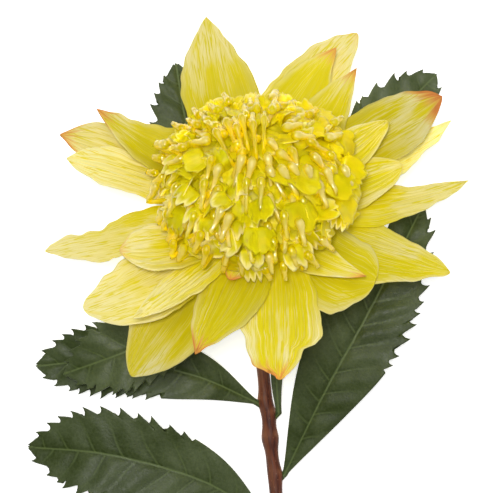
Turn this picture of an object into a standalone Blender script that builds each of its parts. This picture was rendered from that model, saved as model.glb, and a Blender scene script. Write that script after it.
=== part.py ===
"""A cut waratah stem, laid on a table with its flower head looking up.

The origin is on the table, under the middle of the whole. +Y runs along the stalk from the cut end to the
head, +X is across it and +Z is up. Sizes are given in millimetres, and MM turns them into metres.

The head has a frame of its own, tilted back from upright: u is across, v points to the side of the head
that lies on the table, and w rises along the head's axis. Bracts lie on sheets stacked in that frame.
"""

import math
import random
from collections import namedtuple

import bmesh
import bpy
from mathutils import Vector, geometry

MM = 0.001

# Where the flower lies, from under the head's centre to the middle of the whole
PLACE = Vector((10.8, 122.5, 0.0))

# The head's frame
HEAD_TILT = math.radians(35)
HEAD_CENTRE = Vector((0.0, 0.0, 50.0))
HEAD_RIGHT = Vector((1.0, 0.0, 0.0))
HEAD_TOP = Vector((0.0, math.cos(HEAD_TILT), -math.sin(HEAD_TILT)))
HEAD_AXIS = Vector((0.0, math.sin(HEAD_TILT), math.cos(HEAD_TILT)))

# The stalk
STALK_RADIUS = 2.65
STALK_CUT_END = -322.0
STALK_SIDE = -5.6
STALK_BOW = 1.5
STALK_TAPER = 0.15
NECK_JOIN = -20.0
NECK_BASE = -24.0
STALK_STEPS = 10
NECK_STEPS = 7
STALK_BEVEL_RESOLUTION = 2
CUT_SLANT = math.radians(35)
CUT_BACK = 3.0
NODE_RADIUS = 3.3
NODE_LENGTH = 4.2
NODE_OFFSET = 0.4
SWELLING_SIDES = 6
SWELLING_RINGS = 4
LEAF_SCARS = (-166.0, -193.0, -221.0, -250.0, -281.0)

# The receptacle, from its neck up: radius and height along the head's axis
RECEPTACLE = ((2.9, -25.0), (4.6, -21.5), (8.5, -18.0), (14.0, -15.3), (18.0, -13.8), (18.4, -9.0),
              (17.6, -5.0))
RECEPTACLE_SIDES = 24

# The dome of styles
DOME_RADIUS = 44.0
DOME_HEIGHT = 30.0
CORE_SHARE = 0.60
CORE_BOTTOM = -4.4
CORE_SEGMENTS = 20
CORE_RINGS = 10
STYLES = 100
STYLE_FIRST_ANGLE = 12.0
STYLE_LAST_ANGLE = 80.0
GOLDEN_ANGLE = math.pi * (3.0 - math.sqrt(5.0))
SEED = 5

# The path of a style from its root: turn away from its bulb in degrees, share of the dome's radius, radius
STYLE_PATH = ((15.0, 0.50, 0.95), (15.0, 0.90, 0.95), (7.5, 0.99, 1.0), (-1.0, 1.0, 2.15),
              (-8.0, 0.95, 1.0))
# How far a style strays: its angle, turn and sideways lean in degrees, and its height as a share
STYLE_STRAY = (2.0, 4.0, 7.0, 0.03)

# The split perianth segments between the styles: polar angle, turn round the axis, both in degrees
RIM_SEGMENTS = 12
RIM_SEGMENT_ANGLE = 84.0
UPPER_SEGMENTS = ((34.0, 250.0), (40.0, 310.0), (50.0, 215.0), (54.0, 350.0), (52.0, 40.0), (54.0, 95.0),
                  (52.0, 155.0))
SEGMENT_LENGTH = 17.0
SEGMENT_THICKNESS = 0.9
SEGMENT_ROOT = 0.50
SEGMENT_TOP = 0.97
SEGMENT_RISE = 1.5
SEGMENT_SPINE = (0.3, 0.6)
RIM_SEGMENT_DROOP = 8.0
RIM_SEGMENT_STRAY = 5.0
UPPER_SEGMENT_DROOP = 20.0
# The outline of a segment: share of its length, millimetres to one side
SEGMENT_EDGE = ((0.0, 1.6), (0.35, 3.6), (0.68, 4.6), (0.95, 3.9), (0.82, 2.6), (1.0, 1.4), (0.86, 0.3))

# The sheets that the bracts lie on
SHEET_START = -12.5
SHEET_STEP = 2.0
SHEET_EDGE = 42.0
SHEET_SOFTNESS = 8.0
SHEET_SLOPE = -0.13
SHEET_LIFT = 0.43
SHEET_SPREAD = 0.17

# Bracts
BRACT_THICKNESS = 0.8
BRACT_ROOT_RADIUS = 18.9
BRACT_ROOT_HALF_WIDTH = 3.6
BRACT_BEND = 0.52
BRACT_SHOULDER = 1.4
BRACT_STATIONS = 10
BRACT_FREE_FROM = 0.3
BRACT_FREE_BY = 0.62
CURL_FROM = 0.55
RIPPLES = 2.5

# level: which sheet, counted from the back. root, azimuth: where it leaves the receptacle and where its tip
# points, in degrees from u towards v. reach: from the head's axis to its tip. widest: share of its length.
# blunt: below 1 for a rounder end. cup, lean, curl, ripple: how far the margins, one side, the tip and the
# margin's waves leave the sheet.
Bract = namedtuple("Bract", "level root azimuth reach width widest blunt cup lean curl ripple")
BRACTS = (
    Bract(1.4, 106, 99.5, 84.5, 31, 0.52, 0.85, 1.0, 0.0, 0.0, 0.6),
    Bract(0.0, 77, 57.0, 91.0, 30, 0.52, 0.75, 0.6, 0.0, 0.0, 0.5),
    Bract(0.7, 74, 59.5, 77.5, 28, 0.52, 0.90, 0.6, 0.0, 1.0, 0.4),
    Bract(1.6, 50, 48.5, 70.0, 24, 0.50, 0.95, 1.0, 0.0, 2.0, 0.4),
    Bract(1.1, 27, 24.5, 88.0, 31, 0.62, 0.70, 1.0, 0.0, 1.0, 0.6),
    Bract(2.6, 25, 23.0, 61.0, 20, 0.55, 0.60, 1.5, 0.0, 1.0, 0.4),
    Bract(0.0, 15, 21.0, 89.5, 22, 0.50, 0.95, 0.5, 0.0, 0.0, 0.4),
    Bract(1.8, 2, 6.5, 60.0, 26, 0.55, 0.60, 1.0, 0.0, 0.5, 0.4),
    Bract(0.5, 347, 1.5, 86.5, 20, 0.45, 0.95, 0.5, 0.0, 0.0, 0.4),
    Bract(0.0, 323, 335.0, 81.5, 24, 0.55, 0.70, 0.8, 0.0, 0.0, 0.6),
    Bract(0.8, 300, 317.5, 58.5, 34, 0.70, 0.42, 0.8, 0.0, -1.0, 0.4),
    Bract(2.2, 288, 312.5, 57.5, 17, 0.50, 0.90, 1.5, 0.0, 1.0, 0.3),
    Bract(1.6, 281, 270.0, 78.5, 35, 0.64, 0.55, 0.8, 0.0, -1.0, 0.7),
    Bract(2.1, 257, 245.0, 74.5, 28, 0.50, 0.95, 1.0, 0.0, 0.0, 0.5),
    Bract(3.4, 260, 250.0, 43.5, 14, 0.60, 0.50, 1.0, 0.0, 2.0, 0.3),
    Bract(0.0, 230, 227.0, 86.0, 32, 0.64, 0.62, 0.8, 0.0, 0.0, 0.5),
    Bract(1.3, 224, 208.0, 84.5, 31, 0.62, 0.60, 1.2, 0.0, 0.0, 0.6),
    Bract(2.85, 236, 224.5, 76.0, 15, 0.52, 0.65, 0.8, 0.0, 0.0, 0.3),
    Bract(3.3, 219, 203.0, 62.5, 23, 0.60, 0.65, 2.0, 0.0, 1.0, 0.4),
    Bract(0.6, 189, 186.0, 89.5, 22, 0.45, 1.25, 0.8, 0.0, 0.0, 0.4),
    Bract(1.9, 163, 163.5, 80.0, 20, 0.58, 0.80, 0.8, 0.0, 0.0, 0.4),
    Bract(1.2, 149, 155.5, 87.0, 23, 0.58, 0.85, 0.8, 0.0, 0.0, 0.4),
    Bract(2.7, 145, 147.5, 74.0, 23, 0.50, 0.90, 5.0, 0.0, 1.0, 0.3),
)

# Where a margin leaves the plain outline, by the bract's number: first on its left, then on its right, the
# share of its length and how many millimetres it stands out
MARGINS = {
    1: (((0.5, 0.0), (0.6, 1.0), (0.8, 1.9), (0.9, 0.8), (1.0, 0.0)),
        ((0.45, 0.0), (0.6, 1.2), (0.7, 0.9), (0.8, 0.0))),
    2: (((0.45, 0.0), (0.6, -1.6), (0.7, -0.6), (0.8, 0.6), (1.0, 0.6)),
        ((0.8, 0.0), (0.95, 0.8), (1.0, 0.3))),
    3: (((0.8, 0.0),), ((0.75, 0.0), (0.9, -1.2), (1.0, 0.0))),
    4: (((0.8, 0.0),), ((0.55, 0.0), (0.7, -1.7), (0.8, -1.2), (0.92, 0.0))),
    5: (((0.4, 0.0), (0.6, -1.2), (0.7, -0.8), (0.8, -1.0), (0.97, -0.4)), ((0.9, 0.0),)),
    7: (((0.7, 0.0), (0.9, -1.5), (1.0, 0.0)), ((0.6, 0.0), (0.8, -1.2), (0.9, 0.4), (1.0, 0.0))),
    9: (((0.5, 0.0), (0.7, -2.2), (0.8, -1.4), (0.92, 0.0)), ((0.8, 0.0), (0.93, 0.4), (1.0, 0.0))),
    10: (((0.75, 0.0), (0.92, 1.1), (1.0, 0.2)),
         ((0.45, 0.0), (0.6, 2.5), (0.7, 0.3), (0.8, -1.1), (0.92, -1.7), (1.0, 0.0))),
    11: (((0.5, 0.0), (0.7, -3.4), (0.8, -3.0), (0.9, -0.4), (1.0, 0.0)),
         ((0.4, 0.5), (0.6, 3.4), (0.73, 5.4), (0.8, 5.6), (0.86, 3.6), (0.93, 0.6), (1.0, 0.0))),
    13: (((0.5, -2.4), (0.6, -3.2), (0.7, -1.4), (0.77, 0.3), (0.81, -1.2), (0.835, -5.0), (0.9, -3.8),
          (0.94, -3.4), (0.97, -2.6), (1.0, -0.6)),
         ((0.75, 0.0), (0.8, -0.6), (0.9, 1.0), (0.94, 1.6), (0.965, -1.0), (0.985, -2.4), (1.0, -0.6))),
    14: (((0.7, 0.0), (0.8, -0.6), (0.92, -1.0), (1.0, 0.0)), ((0.7, 0.0), (0.9, 2.2), (1.0, 0.2))),
    16: (((0.75, 0.0), (0.9, -0.6), (0.96, -1.0), (1.0, 0.0)), ((0.8, 0.0), (0.9, -0.8), (0.96, -0.6))),
    17: (((0.6, 1.0), (0.7, 1.5), (0.9, 1.7), (0.97, 0.6)),
         ((0.6, 0.0), (0.8, -1.6), (0.86, -0.6), (0.9, -0.9), (1.0, 0.2))),
    19: (((0.5, 0.0), (0.7, 1.9), (0.8, 3.0), (0.9, 2.8), (1.0, 0.3)),
         ((0.6, 0.0), (0.8, 1.5), (0.9, 2.0), (1.0, 0.2))),
    20: (((0.6, 0.0), (0.66, 0.6), (0.7, 2.6), (0.8, 3.6), (0.9, 3.0), (0.97, 1.4), (1.0, 0.5)),
         ((0.35, 0.0), (0.5, -1.9), (0.65, -3.0), (0.7, -3.8), (0.8, -0.7), (0.9, 2.3), (0.97, 1.8), (1.0, 0.6))),
    21: (((0.4, 0.0), (0.6, -2.4), (0.7, -2.0), (0.8, -0.8), (0.9, 0.0)),
         ((0.6, 0.0), (0.8, 2.6), (0.9, 2.5), (1.0, 0.3))),
    22: (((0.9, 0.0),), ((0.5, 0.0), (0.65, 1.0), (0.8, 2.6), (0.9, 2.1), (1.0, 0.3))),
    23: (((0.9, 0.0),), ((0.5, 0.0), (0.7, -2.4), (0.8, -2.0), (0.9, 0.0))),
}
PLAIN_MARGIN = ((0.0, 0.0),)

# Leaves
LEAF_THICKNESS = 0.8
LEAF_RIB_THICKNESS = 2.2
LEAF_RIB_FADE = 0.6
PETIOLE_HALF_WIDTH = 1.3
LEAF_SHOULDER = 1.1
PLAIN_STATIONS = 5
# A tooth: its depth as a share of the leaf's width, its point and its notch as shares of the pitch
TOOTH_DEPTH = 0.045
TOOTH_POINT = 0.62
TOOTH_NOTCH = 0.8
RIB_STATIONS = 12

# points: where the midrib passes, from the stalk to the tip. bare: the share of it that is a leaf stalk.
# toothed: the share from which it is serrated.
# fold: how far each half rises from flat, roll: how far the whole turns about its midrib, in degrees.
Leaf = namedtuple("Leaf", "points width bare teeth toothed widest blunt fold roll ripple")
LEAVES = (
    Leaf(((-10.4, -139.5, 4.0), (-37.1, -119.4, 11.0), (-73.7, -104.7, 13.0), (-107.9, -98.5, 5.0)),
         39, 0.01, 9, 0.40, 0.66, 0.62, 8, 0, 1.0),
    Leaf(((-10.1, -89.5, 4.5), (-34.6, -75.4, 9.0), (-67.6, -65.2, 8.0), (-101.0, -64.5, 4.0)),
         31, 0.01, 8, 0.45, 0.70, 0.55, 6, 0, 0.8),
    Leaf(((-9.4, -55.6, 5.0), (-34.1, -53.0, 15.0), (-61.5, -61.5, 19.0), (-88.7, -68.4, 14.0)),
         33, 0.01, 8, 0.40, 0.66, 0.60, 6, 0, 0.8),
    Leaf(((-8.6, -46.9, 7.0), (-17.1, -8.7, 6.5), (-26.6, 28.8, 3.2), (-29.0, 57.5, 0.75)),
         30, 0.07, 8, 0.40, 0.66, 0.62, 3, 0, 0.4),
    Leaf(((0.3, -47.3, 7.0), (25.5, -13.0, 8.0), (53.2, 18.4, 5.0), (81.0, 41.4, 0.75)),
         31, 0.07, 9, 0.36, 0.72, 0.55, 3, 0, 0.4),
    Leaf(((-1.1, -121.5, 4.0), (19.8, -87.4, 12.0), (42.2, -54.7, 15.0), (69.0, -14.0, 9.0)),
         39, 0.01, 9, 0.50, 0.64, 0.58, 8, 0, 1.0),
    Leaf(((-0.9, -95.5, 4.5), (-0.2, -80.8, 5.5), (3.0, -64.1, 5.5), (9.0, -46.8, 4.0)),
         6, 0.07, 4, 0.50, 0.60, 0.70, 4, 0, 0.2),
)

# Colour and roughness of each material
MATERIALS = {
    "stem_bark": ((0.20, 0.07, 0.045), 0.6),
    "floret_yellow": ((0.86, 0.66, 0.03), 0.3),
    "bract_yellow": ((0.86, 0.80, 0.18), 0.5),
    "leaf_green": ((0.07, 0.10, 0.045), 0.45),
}

TRIANGLES_INSIDE_OUTLINE = 1
FLAT_MERGE = 1e-6
WELD_DISTANCE = 1e-6
SMOOTH_ANGLE = math.radians(50)


# Scene


def clear_scene():
    for obj in list(bpy.data.objects):
        bpy.data.objects.remove(obj, do_unlink=True)


def new_collection(name):
    made = bpy.data.collections.new(name)
    bpy.context.scene.collection.children.link(made)
    return made


def new_material(name):
    colour, roughness = MATERIALS[name]
    made = bpy.data.materials.new(name)
    made.use_nodes = True
    shader = made.node_tree.nodes["Principled BSDF"]
    shader.inputs["Base Color"].default_value = (*colour, 1.0)
    shader.inputs["Roughness"].default_value = roughness
    shader.inputs["Metallic"].default_value = 0.0
    return made


def link_mesh(name, mesh, collection, material=None):
    made = bpy.data.objects.new(name, mesh)
    collection.objects.link(made)
    if material:
        mesh.materials.clear()
        mesh.materials.append(material)
    mesh.shade_smooth()
    mesh.set_sharp_from_angle(angle=SMOOTH_ANGLE)
    return made


def on_table(point):
    """A point given in millimetres from under the head's centre, in the scene's metres."""
    return (Vector(point) + PLACE) * MM


def head_point(u, v, w):
    """A point of the head's own frame, in millimetres from under the head's centre."""
    return HEAD_CENTRE + HEAD_RIGHT * u + HEAD_TOP * v + HEAD_AXIS * w


def smooth_step(x):
    x = min(max(x, 0.0), 1.0)
    return x * x * (3.0 - 2.0 * x)


# Blades: a flat outline, split into triangles, bent into place and given a thickness


def blade(name, outline, inner, place, thickness, collection, material=None, rib=None):
    """rib gives, for a flat point, how far its thickness is from plain, 0, to a midrib's, 1."""
    flat = [Vector(point) for point in outline + inner]
    ring = list(range(len(outline)))
    points, _, faces, *_ = geometry.delaunay_2d_cdt(
        flat, [], [ring], TRIANGLES_INSIDE_OUTLINE, FLAT_MERGE)
    mesh = bpy.data.meshes.new(name)
    mesh.from_pydata([on_table(place(*point)) for point in points], [], faces)
    made = link_mesh(name, mesh, collection, material)
    solid = made.modifiers.new("Thickness", "SOLIDIFY")
    solid.offset = 0.0
    solid.use_quality_normals = True
    if rib:
        group = made.vertex_groups.new(name="rib")
        for index, point in enumerate(points):
            group.add([index], rib(*point), "REPLACE")
        solid.vertex_group = group.name
        solid.thickness = LEAF_RIB_THICKNESS * MM
        solid.thickness_vertex_group = thickness / LEAF_RIB_THICKNESS
    else:
        solid.thickness = thickness * MM
    return made


# Bracts


def polar(radius, degrees):
    return Vector((radius * math.cos(math.radians(degrees)), radius * math.sin(math.radians(degrees))))


def sheet_height(u, v, level):
    """The height of a bract's sheet: flat under the dome, then spreading from its neighbours above and
    below, rising on the side that lies on the table and falling on the other."""
    radius = math.hypot(u, v)
    past = radius - SHEET_EDGE
    beyond = (past + math.hypot(past, SHEET_SOFTNESS)) / 2
    slope = SHEET_SLOPE + SHEET_LIFT * v / radius + SHEET_SPREAD * level
    return SHEET_START + SHEET_STEP * level + slope * beyond


def bract_half_width(bract, s):
    half = bract.width / 2
    if s < bract.widest:
        rise = math.sin(math.pi / 2 * s / bract.widest) ** BRACT_SHOULDER
        return BRACT_ROOT_HALF_WIDTH + (half - BRACT_ROOT_HALF_WIDTH) * rise
    fall = math.cos(math.pi / 2 * (s - bract.widest) / (1.0 - bract.widest))
    return half * max(fall, 0.0) ** bract.blunt


def bract_spine(bract):
    root = polar(BRACT_ROOT_RADIUS, bract.root)
    bend = polar(BRACT_BEND * bract.reach, bract.root)
    tip = polar(bract.reach, bract.azimuth)
    length = (bend - root).length + (tip - bend).length

    def at(s):
        point = root * (1 - s) ** 2 + bend * 2 * s * (1 - s) + tip * s ** 2
        heading = ((bend - root) * (1 - s) + (tip - bend) * s).normalized()
        return point, Vector((-heading.y, heading.x))

    return at, length


def bract_surface(bract, phase):
    """Where a flat point of the bract goes: x along its spine, y to the left of it."""
    at, length = bract_spine(bract)

    def place(x, y):
        s = x / length
        spine, left = at(s)
        plan = spine + left * y
        across = y / (bract.width / 2)
        free = smooth_step((s - BRACT_FREE_FROM) / (BRACT_FREE_BY - BRACT_FREE_FROM))
        wave = bract.ripple * math.sin(2 * math.pi * RIPPLES * s + phase + across)
        margins = (bract.cup + wave) * across ** 2 + bract.lean * across
        tip = bract.curl * max(0.0, (s - CURL_FROM) / (1.0 - CURL_FROM)) ** 2
        return head_point(*plan, sheet_height(*plan, bract.level) + free * margins + tip)

    return place, length


def between(steps, share):
    """The value at a share, read along a row of (share, value) steps with a smooth ease between them."""
    if share <= steps[0][0]:
        return steps[0][1]
    for (low, a), (high, b) in zip(steps, steps[1:]):
        if share <= high:
            return a + (b - a) * smooth_step((share - low) / (high - low))
    return steps[-1][1]


def make_bract(number, bract, phase, collection, material):
    place, length = bract_surface(bract, phase)
    shares = [k / BRACT_STATIONS for k in range(BRACT_STATIONS)]
    margins = []
    for trim in MARGINS.get(number, (PLAIN_MARGIN, PLAIN_MARGIN)):
        stations = sorted({*shares, *(s for s, _ in trim if s < 1.0)})
        margins.append([(s * length, bract_half_width(bract, s) + between(trim, s)) for s in stations])
    left, right = margins
    outline = [(x, -y) for x, y in right] + [(length, 0.0)] + left[::-1]
    inner = [(s * length, 0.0) for s in shares[1:]]
    for s in shares[2::2]:
        half = bract_half_width(bract, s) / 2
        inner += [(s * length, half), (s * length, -half)]
    return blade(f"bract_{number:02d}", outline, inner, place, BRACT_THICKNESS, collection, material)


# Leaves


def route(points, share):
    """A point on the smooth curve through the given points, and its heading."""
    last = len(points) - 1
    index = min(int(share * last), last - 1)
    t = share * last - index
    before = points[index - 1] if index else points[0] * 2 - points[1]
    a, b = points[index], points[index + 1]
    after = points[index + 2] if index + 2 <= last else points[last] * 2 - points[last - 1]
    point = (a * 2 + (b - before) * t + (before * 2 - a * 5 + b * 4 - after) * t ** 2
             + (a * 3 - before - b * 3 + after) * t ** 3) / 2
    heading = ((b - before) + (before * 2 - a * 5 + b * 4 - after) * 2 * t
               + (a * 3 - before - b * 3 + after) * 3 * t ** 2).normalized()
    return point, heading


def leaf_half_width(leaf, s):
    half = leaf.width / 2
    if s < leaf.bare:
        return PETIOLE_HALF_WIDTH
    if s < leaf.widest:
        rise = math.sin(math.pi / 2 * (s - leaf.bare) / (leaf.widest - leaf.bare))
        return PETIOLE_HALF_WIDTH + (half - PETIOLE_HALF_WIDTH) * rise ** LEAF_SHOULDER
    fall = math.cos(math.pi / 2 * (s - leaf.widest) / (1.0 - leaf.widest))
    return half * max(fall, 0.0) ** leaf.blunt


def leaf_margin(leaf):
    """Shares of the length and half widths along one margin: plain, then teeth that point forwards."""
    margin = [(s, leaf_half_width(leaf, s)) for s in
              [leaf.toothed * k / PLAIN_STATIONS for k in range(PLAIN_STATIONS + 1)]]
    pitch = (1.0 - leaf.toothed) / (leaf.teeth + 0.5)
    depth = TOOTH_DEPTH * leaf.width
    for tooth in range(leaf.teeth):
        point = leaf.toothed + pitch * (tooth + TOOTH_POINT)
        notch = leaf.toothed + pitch * (tooth + TOOTH_NOTCH)
        margin.append((point, leaf_half_width(leaf, point)))
        margin.append((notch, leaf_half_width(leaf, notch) - depth))
    return margin


def make_leaf(name, leaf, phase, collection, material):
    points = [Vector(point) for point in leaf.points]
    length = sum((b - a).length for a, b in zip(points, points[1:]))
    fold = math.tan(math.radians(leaf.fold))

    def place(x, y):
        s = x / length
        point, heading = route(points, s)
        left = Vector((-heading.y, heading.x, 0.0)).normalized()
        up = heading.cross(left)
        turn = math.radians(leaf.roll)
        side = left * math.cos(turn) + up * math.sin(turn)
        across = y / (leaf.width / 2)
        wave = leaf.ripple * math.sin(2 * math.pi * RIPPLES * s + phase + across) * across ** 2
        return point + side * y + up * (fold * abs(y) + wave)

    def rib(x, y):
        near = max(0.0, 1.0 - abs(y) / (2 * PETIOLE_HALF_WIDTH))
        return near * (1.0 - LEAF_RIB_FADE * smooth_step(x / length))

    right = [(s * length, -half) for s, half in leaf_margin(leaf)]
    left = [(x, -y) for x, y in reversed(right)]
    inner = [(length * k / RIB_STATIONS, 0.0) for k in range(1, RIB_STATIONS)]
    for k in range(3, RIB_STATIONS - 1, 2):
        s = k / RIB_STATIONS
        half = leaf_half_width(leaf, s) / 2
        inner += [(s * length, half), (s * length, -half)]
    outline = right + [(length, 0.0)] + left
    return blade(name, outline, inner, place, LEAF_THICKNESS, collection, material, rib)


# The stalk and its receptacle


def stalk_route():
    """Points and radii down the stalk: from inside the receptacle, round the bent neck, then along the
    table, thicker towards the cut end and bowed a little off the table in between."""
    start = head_point(0.0, 0.0, NECK_JOIN)
    bend_start = head_point(0.0, 0.0, NECK_BASE)
    turn = math.pi / 2 - HEAD_TILT
    bend = (bend_start.z - STALK_RADIUS) / (1.0 - math.cos(turn))
    flat_from = bend_start.y - bend * math.sin(turn)
    points, radii = [start], [STALK_RADIUS]
    for k in range(NECK_STEPS):
        angle = turn * (1.0 - k / NECK_STEPS)
        height = STALK_RADIUS + bend * (1.0 - math.cos(angle))
        points.append(Vector((0.0, flat_from + bend * math.sin(angle), height)))
        radii.append(STALK_RADIUS)
    for k in range(STALK_STEPS + 1):
        share = k / STALK_STEPS
        radius = STALK_RADIUS * (1.0 + STALK_TAPER * share)
        height = radius + STALK_BOW * math.sin(math.pi * share) ** 2
        points.append(Vector((0.0, flat_from + (STALK_CUT_END - flat_from) * share, height)))
        radii.append(radius)
    for point in points:
        point.x = STALK_SIDE * smooth_step((bend_start.y - point.y) / (bend_start.y - flat_from))
    return points, radii


def tube(name, points, radii, bevel_resolution):
    """A curve of round section through the points, in millimetres, as a welded mesh."""
    curve = bpy.data.curves.new(name, "CURVE")
    curve.dimensions = "3D"
    curve.bevel_depth = MM
    curve.bevel_resolution = bevel_resolution
    curve.use_fill_caps = True
    spline = curve.splines.new("POLY")
    spline.points.add(len(points) - 1)
    for knot, point, radius in zip(spline.points, points, radii):
        knot.co = (*on_table(point), 1.0)
        knot.radius = radius
    guide = bpy.data.objects.new(name + "_route", curve)
    bpy.context.scene.collection.objects.link(guide)
    return guide


def meshes_of(guides, collection):
    """Each curve as a mesh object with its caps welded on; the curves are removed."""
    graph = bpy.context.evaluated_depsgraph_get()
    made = []
    for guide in guides:
        mesh = bpy.data.meshes.new_from_object(guide.evaluated_get(graph))
        shape = bmesh.new()
        shape.from_mesh(mesh)
        bmesh.ops.remove_doubles(shape, verts=shape.verts, dist=WELD_DISTANCE)
        bmesh.ops.recalc_face_normals(shape, faces=shape.faces)
        shape.to_mesh(mesh)
        shape.free()
        obj = bpy.data.objects.new(guide.name.replace("_route", ""), mesh)
        collection.objects.link(obj)
        made.append(obj)
    for guide in guides:
        bpy.data.objects.remove(guide, do_unlink=True)
    return made


def baked(obj, collection):
    """The object's evaluated mesh as a plain object without modifiers."""
    graph = bpy.context.evaluated_depsgraph_get()
    mesh = bpy.data.meshes.new_from_object(obj.evaluated_get(graph))
    mesh.transform(obj.matrix_world)
    made = bpy.data.objects.new(obj.name + "_solid", mesh)
    collection.objects.link(made)
    bpy.data.objects.remove(obj, do_unlink=True)
    return made


def biggest_shell(mesh):
    """Drops what a union leaves loose or sealed inside: only the shell with the largest box stays."""
    shape = bmesh.new()
    shape.from_mesh(mesh)
    bmesh.ops.triangulate(shape, faces=shape.faces)
    unseen = set(shape.faces)
    shells = []
    while unseen:
        stack = [unseen.pop()]
        shell = set(stack)
        while stack:
            for edge in stack.pop().edges:
                for face in edge.link_faces if len(edge.link_faces) == 2 else ():
                    if face in unseen:
                        unseen.discard(face)
                        shell.add(face)
                        stack.append(face)
        shells.append(shell)

    def box_size(shell):
        points = [vert.co for face in shell for vert in face.verts]
        return sum(max(p[i] for p in points) - min(p[i] for p in points) for i in range(3))

    shells.sort(key=box_size)
    for shell in shells[:-1]:
        bmesh.ops.delete(shape, geom=list(shell), context="FACES")
    shape.to_mesh(mesh)
    shape.free()


def fuse(name, base, pieces, collection, material, solver="EXACT"):
    """One union of the base with a collection of pieces, applied; the pieces are removed."""
    group = new_collection(name + "_pieces")
    for piece in pieces:
        for home in list(piece.users_collection):
            home.objects.unlink(piece)
        group.objects.link(piece)
    union = base.modifiers.new("Union", "BOOLEAN")
    union.operation = "UNION"
    union.operand_type = "COLLECTION"
    union.collection = group
    union.solver = solver
    bpy.context.view_layer.update()
    mesh = bpy.data.meshes.new_from_object(base.evaluated_get(bpy.context.evaluated_depsgraph_get()))
    mesh.transform(base.matrix_world)
    mesh.name = name
    for piece in list(group.objects):
        bpy.data.objects.remove(piece, do_unlink=True)
    bpy.data.collections.remove(group)
    bpy.data.objects.remove(base, do_unlink=True)
    biggest_shell(mesh)
    return link_mesh(name, mesh, collection, material)


def make_receptacle(collection):
    """The swollen top of the stalk, turned about the head's axis."""
    profile = [Vector((radius * MM, 0.0, height * MM)) for radius, height in reversed(RECEPTACLE)]
    ends = [Vector((0.0, 0.0, profile[0].z))], [Vector((0.0, 0.0, profile[-1].z))]
    points = ends[0] + profile + ends[1]
    mesh = bpy.data.meshes.new("receptacle")
    mesh.from_pydata(points, [(k, k + 1) for k in range(len(points) - 1)], [])
    made = bpy.data.objects.new("receptacle", mesh)
    collection.objects.link(made)
    made.location = on_table(HEAD_CENTRE)
    made.rotation_euler = (-HEAD_TILT, 0.0, 0.0)
    screw = made.modifiers.new("Turn", "SCREW")
    screw.steps = RECEPTACLE_SIDES
    screw.render_steps = RECEPTACLE_SIDES
    screw.use_merge_vertices = True
    screw.merge_threshold = WELD_DISTANCE
    bpy.context.view_layer.update()
    return baked(made, collection)


def ball(name, centre, scale, collection):
    """A low round swelling, in millimetres, its long way along the stalk."""
    mesh = bpy.data.meshes.new(name)
    shape = bmesh.new()
    bmesh.ops.create_uvsphere(shape, u_segments=SWELLING_SIDES, v_segments=SWELLING_RINGS, radius=1.0)
    for vert in shape.verts:
        across, along, up = vert.co.x, vert.co.z, -vert.co.y
        vert.co = on_table(Vector(centre) + Vector((across * scale[0], along * scale[1], up * scale[2])))
    shape.to_mesh(mesh)
    shape.free()
    made = bpy.data.objects.new(name, mesh)
    collection.objects.link(made)
    return made


def make_stem(collection, material):
    points, radii = stalk_route()
    stalk, = meshes_of([tube("stalk", points, radii, STALK_BEVEL_RESOLUTION)], collection)
    pieces = [make_receptacle(collection)]
    scars = [(y, 1 if index % 2 else -1) for index, y in enumerate(LEAF_SCARS)]
    joins = [(leaf.points[0][1], math.copysign(1, leaf.points[1][0] - STALK_SIDE)) for leaf in LEAVES]
    for y, side in joins + scars:
        near = min(points, key=lambda point: abs(point.y - y))
        centre = (near.x + NODE_OFFSET * side, y, max(near.z, NODE_RADIUS))
        pieces.append(ball("swelling", centre, (NODE_RADIUS, NODE_LENGTH, NODE_RADIUS), collection))
    stem = fuse("stem", stalk, pieces, collection, material)
    cut_slanting(stem.data)
    return stem


def cut_slanting(mesh):
    """Cuts the end of the stalk at a slant that faces up."""
    shape = bmesh.new()
    shape.from_mesh(mesh)
    everything = shape.verts[:] + shape.edges[:] + shape.faces[:]
    found = bmesh.ops.bisect_plane(
        shape, geom=everything, plane_co=on_table((STALK_SIDE, STALK_CUT_END + CUT_BACK, STALK_RADIUS)),
        plane_no=(0.0, -math.cos(CUT_SLANT), math.sin(CUT_SLANT)), clear_outer=True)
    rim = [part for part in found["geom_cut"] if isinstance(part, bmesh.types.BMEdge)]
    bmesh.ops.edgenet_fill(shape, edges=rim)
    bmesh.ops.recalc_face_normals(shape, faces=shape.faces)
    shape.to_mesh(mesh)
    shape.free()


# The floret head


def dome_point(angle, turn, share):
    """A point inside the dome by its polar angle and turn in degrees, and its share of the way out."""
    polar_angle, round_angle = math.radians(angle), math.radians(turn)
    radius = DOME_RADIUS * share * math.sin(polar_angle)
    return head_point(radius * math.cos(round_angle), radius * math.sin(round_angle),
                      DOME_HEIGHT * share * math.cos(polar_angle))


def make_core(collection):
    mesh = bpy.data.meshes.new("core")
    shape = bmesh.new()
    bmesh.ops.create_uvsphere(shape, u_segments=CORE_SEGMENTS, v_segments=CORE_RINGS, radius=1.0)
    for vert in shape.verts:
        u, v, w = vert.co.x * DOME_RADIUS, vert.co.y * DOME_RADIUS, vert.co.z * DOME_HEIGHT
        vert.co = on_table(head_point(u * CORE_SHARE, v * CORE_SHARE, max(w * CORE_SHARE, CORE_BOTTOM)))
    shape.to_mesh(mesh)
    shape.free()
    made = bpy.data.objects.new("core", mesh)
    collection.objects.link(made)
    return made


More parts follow.
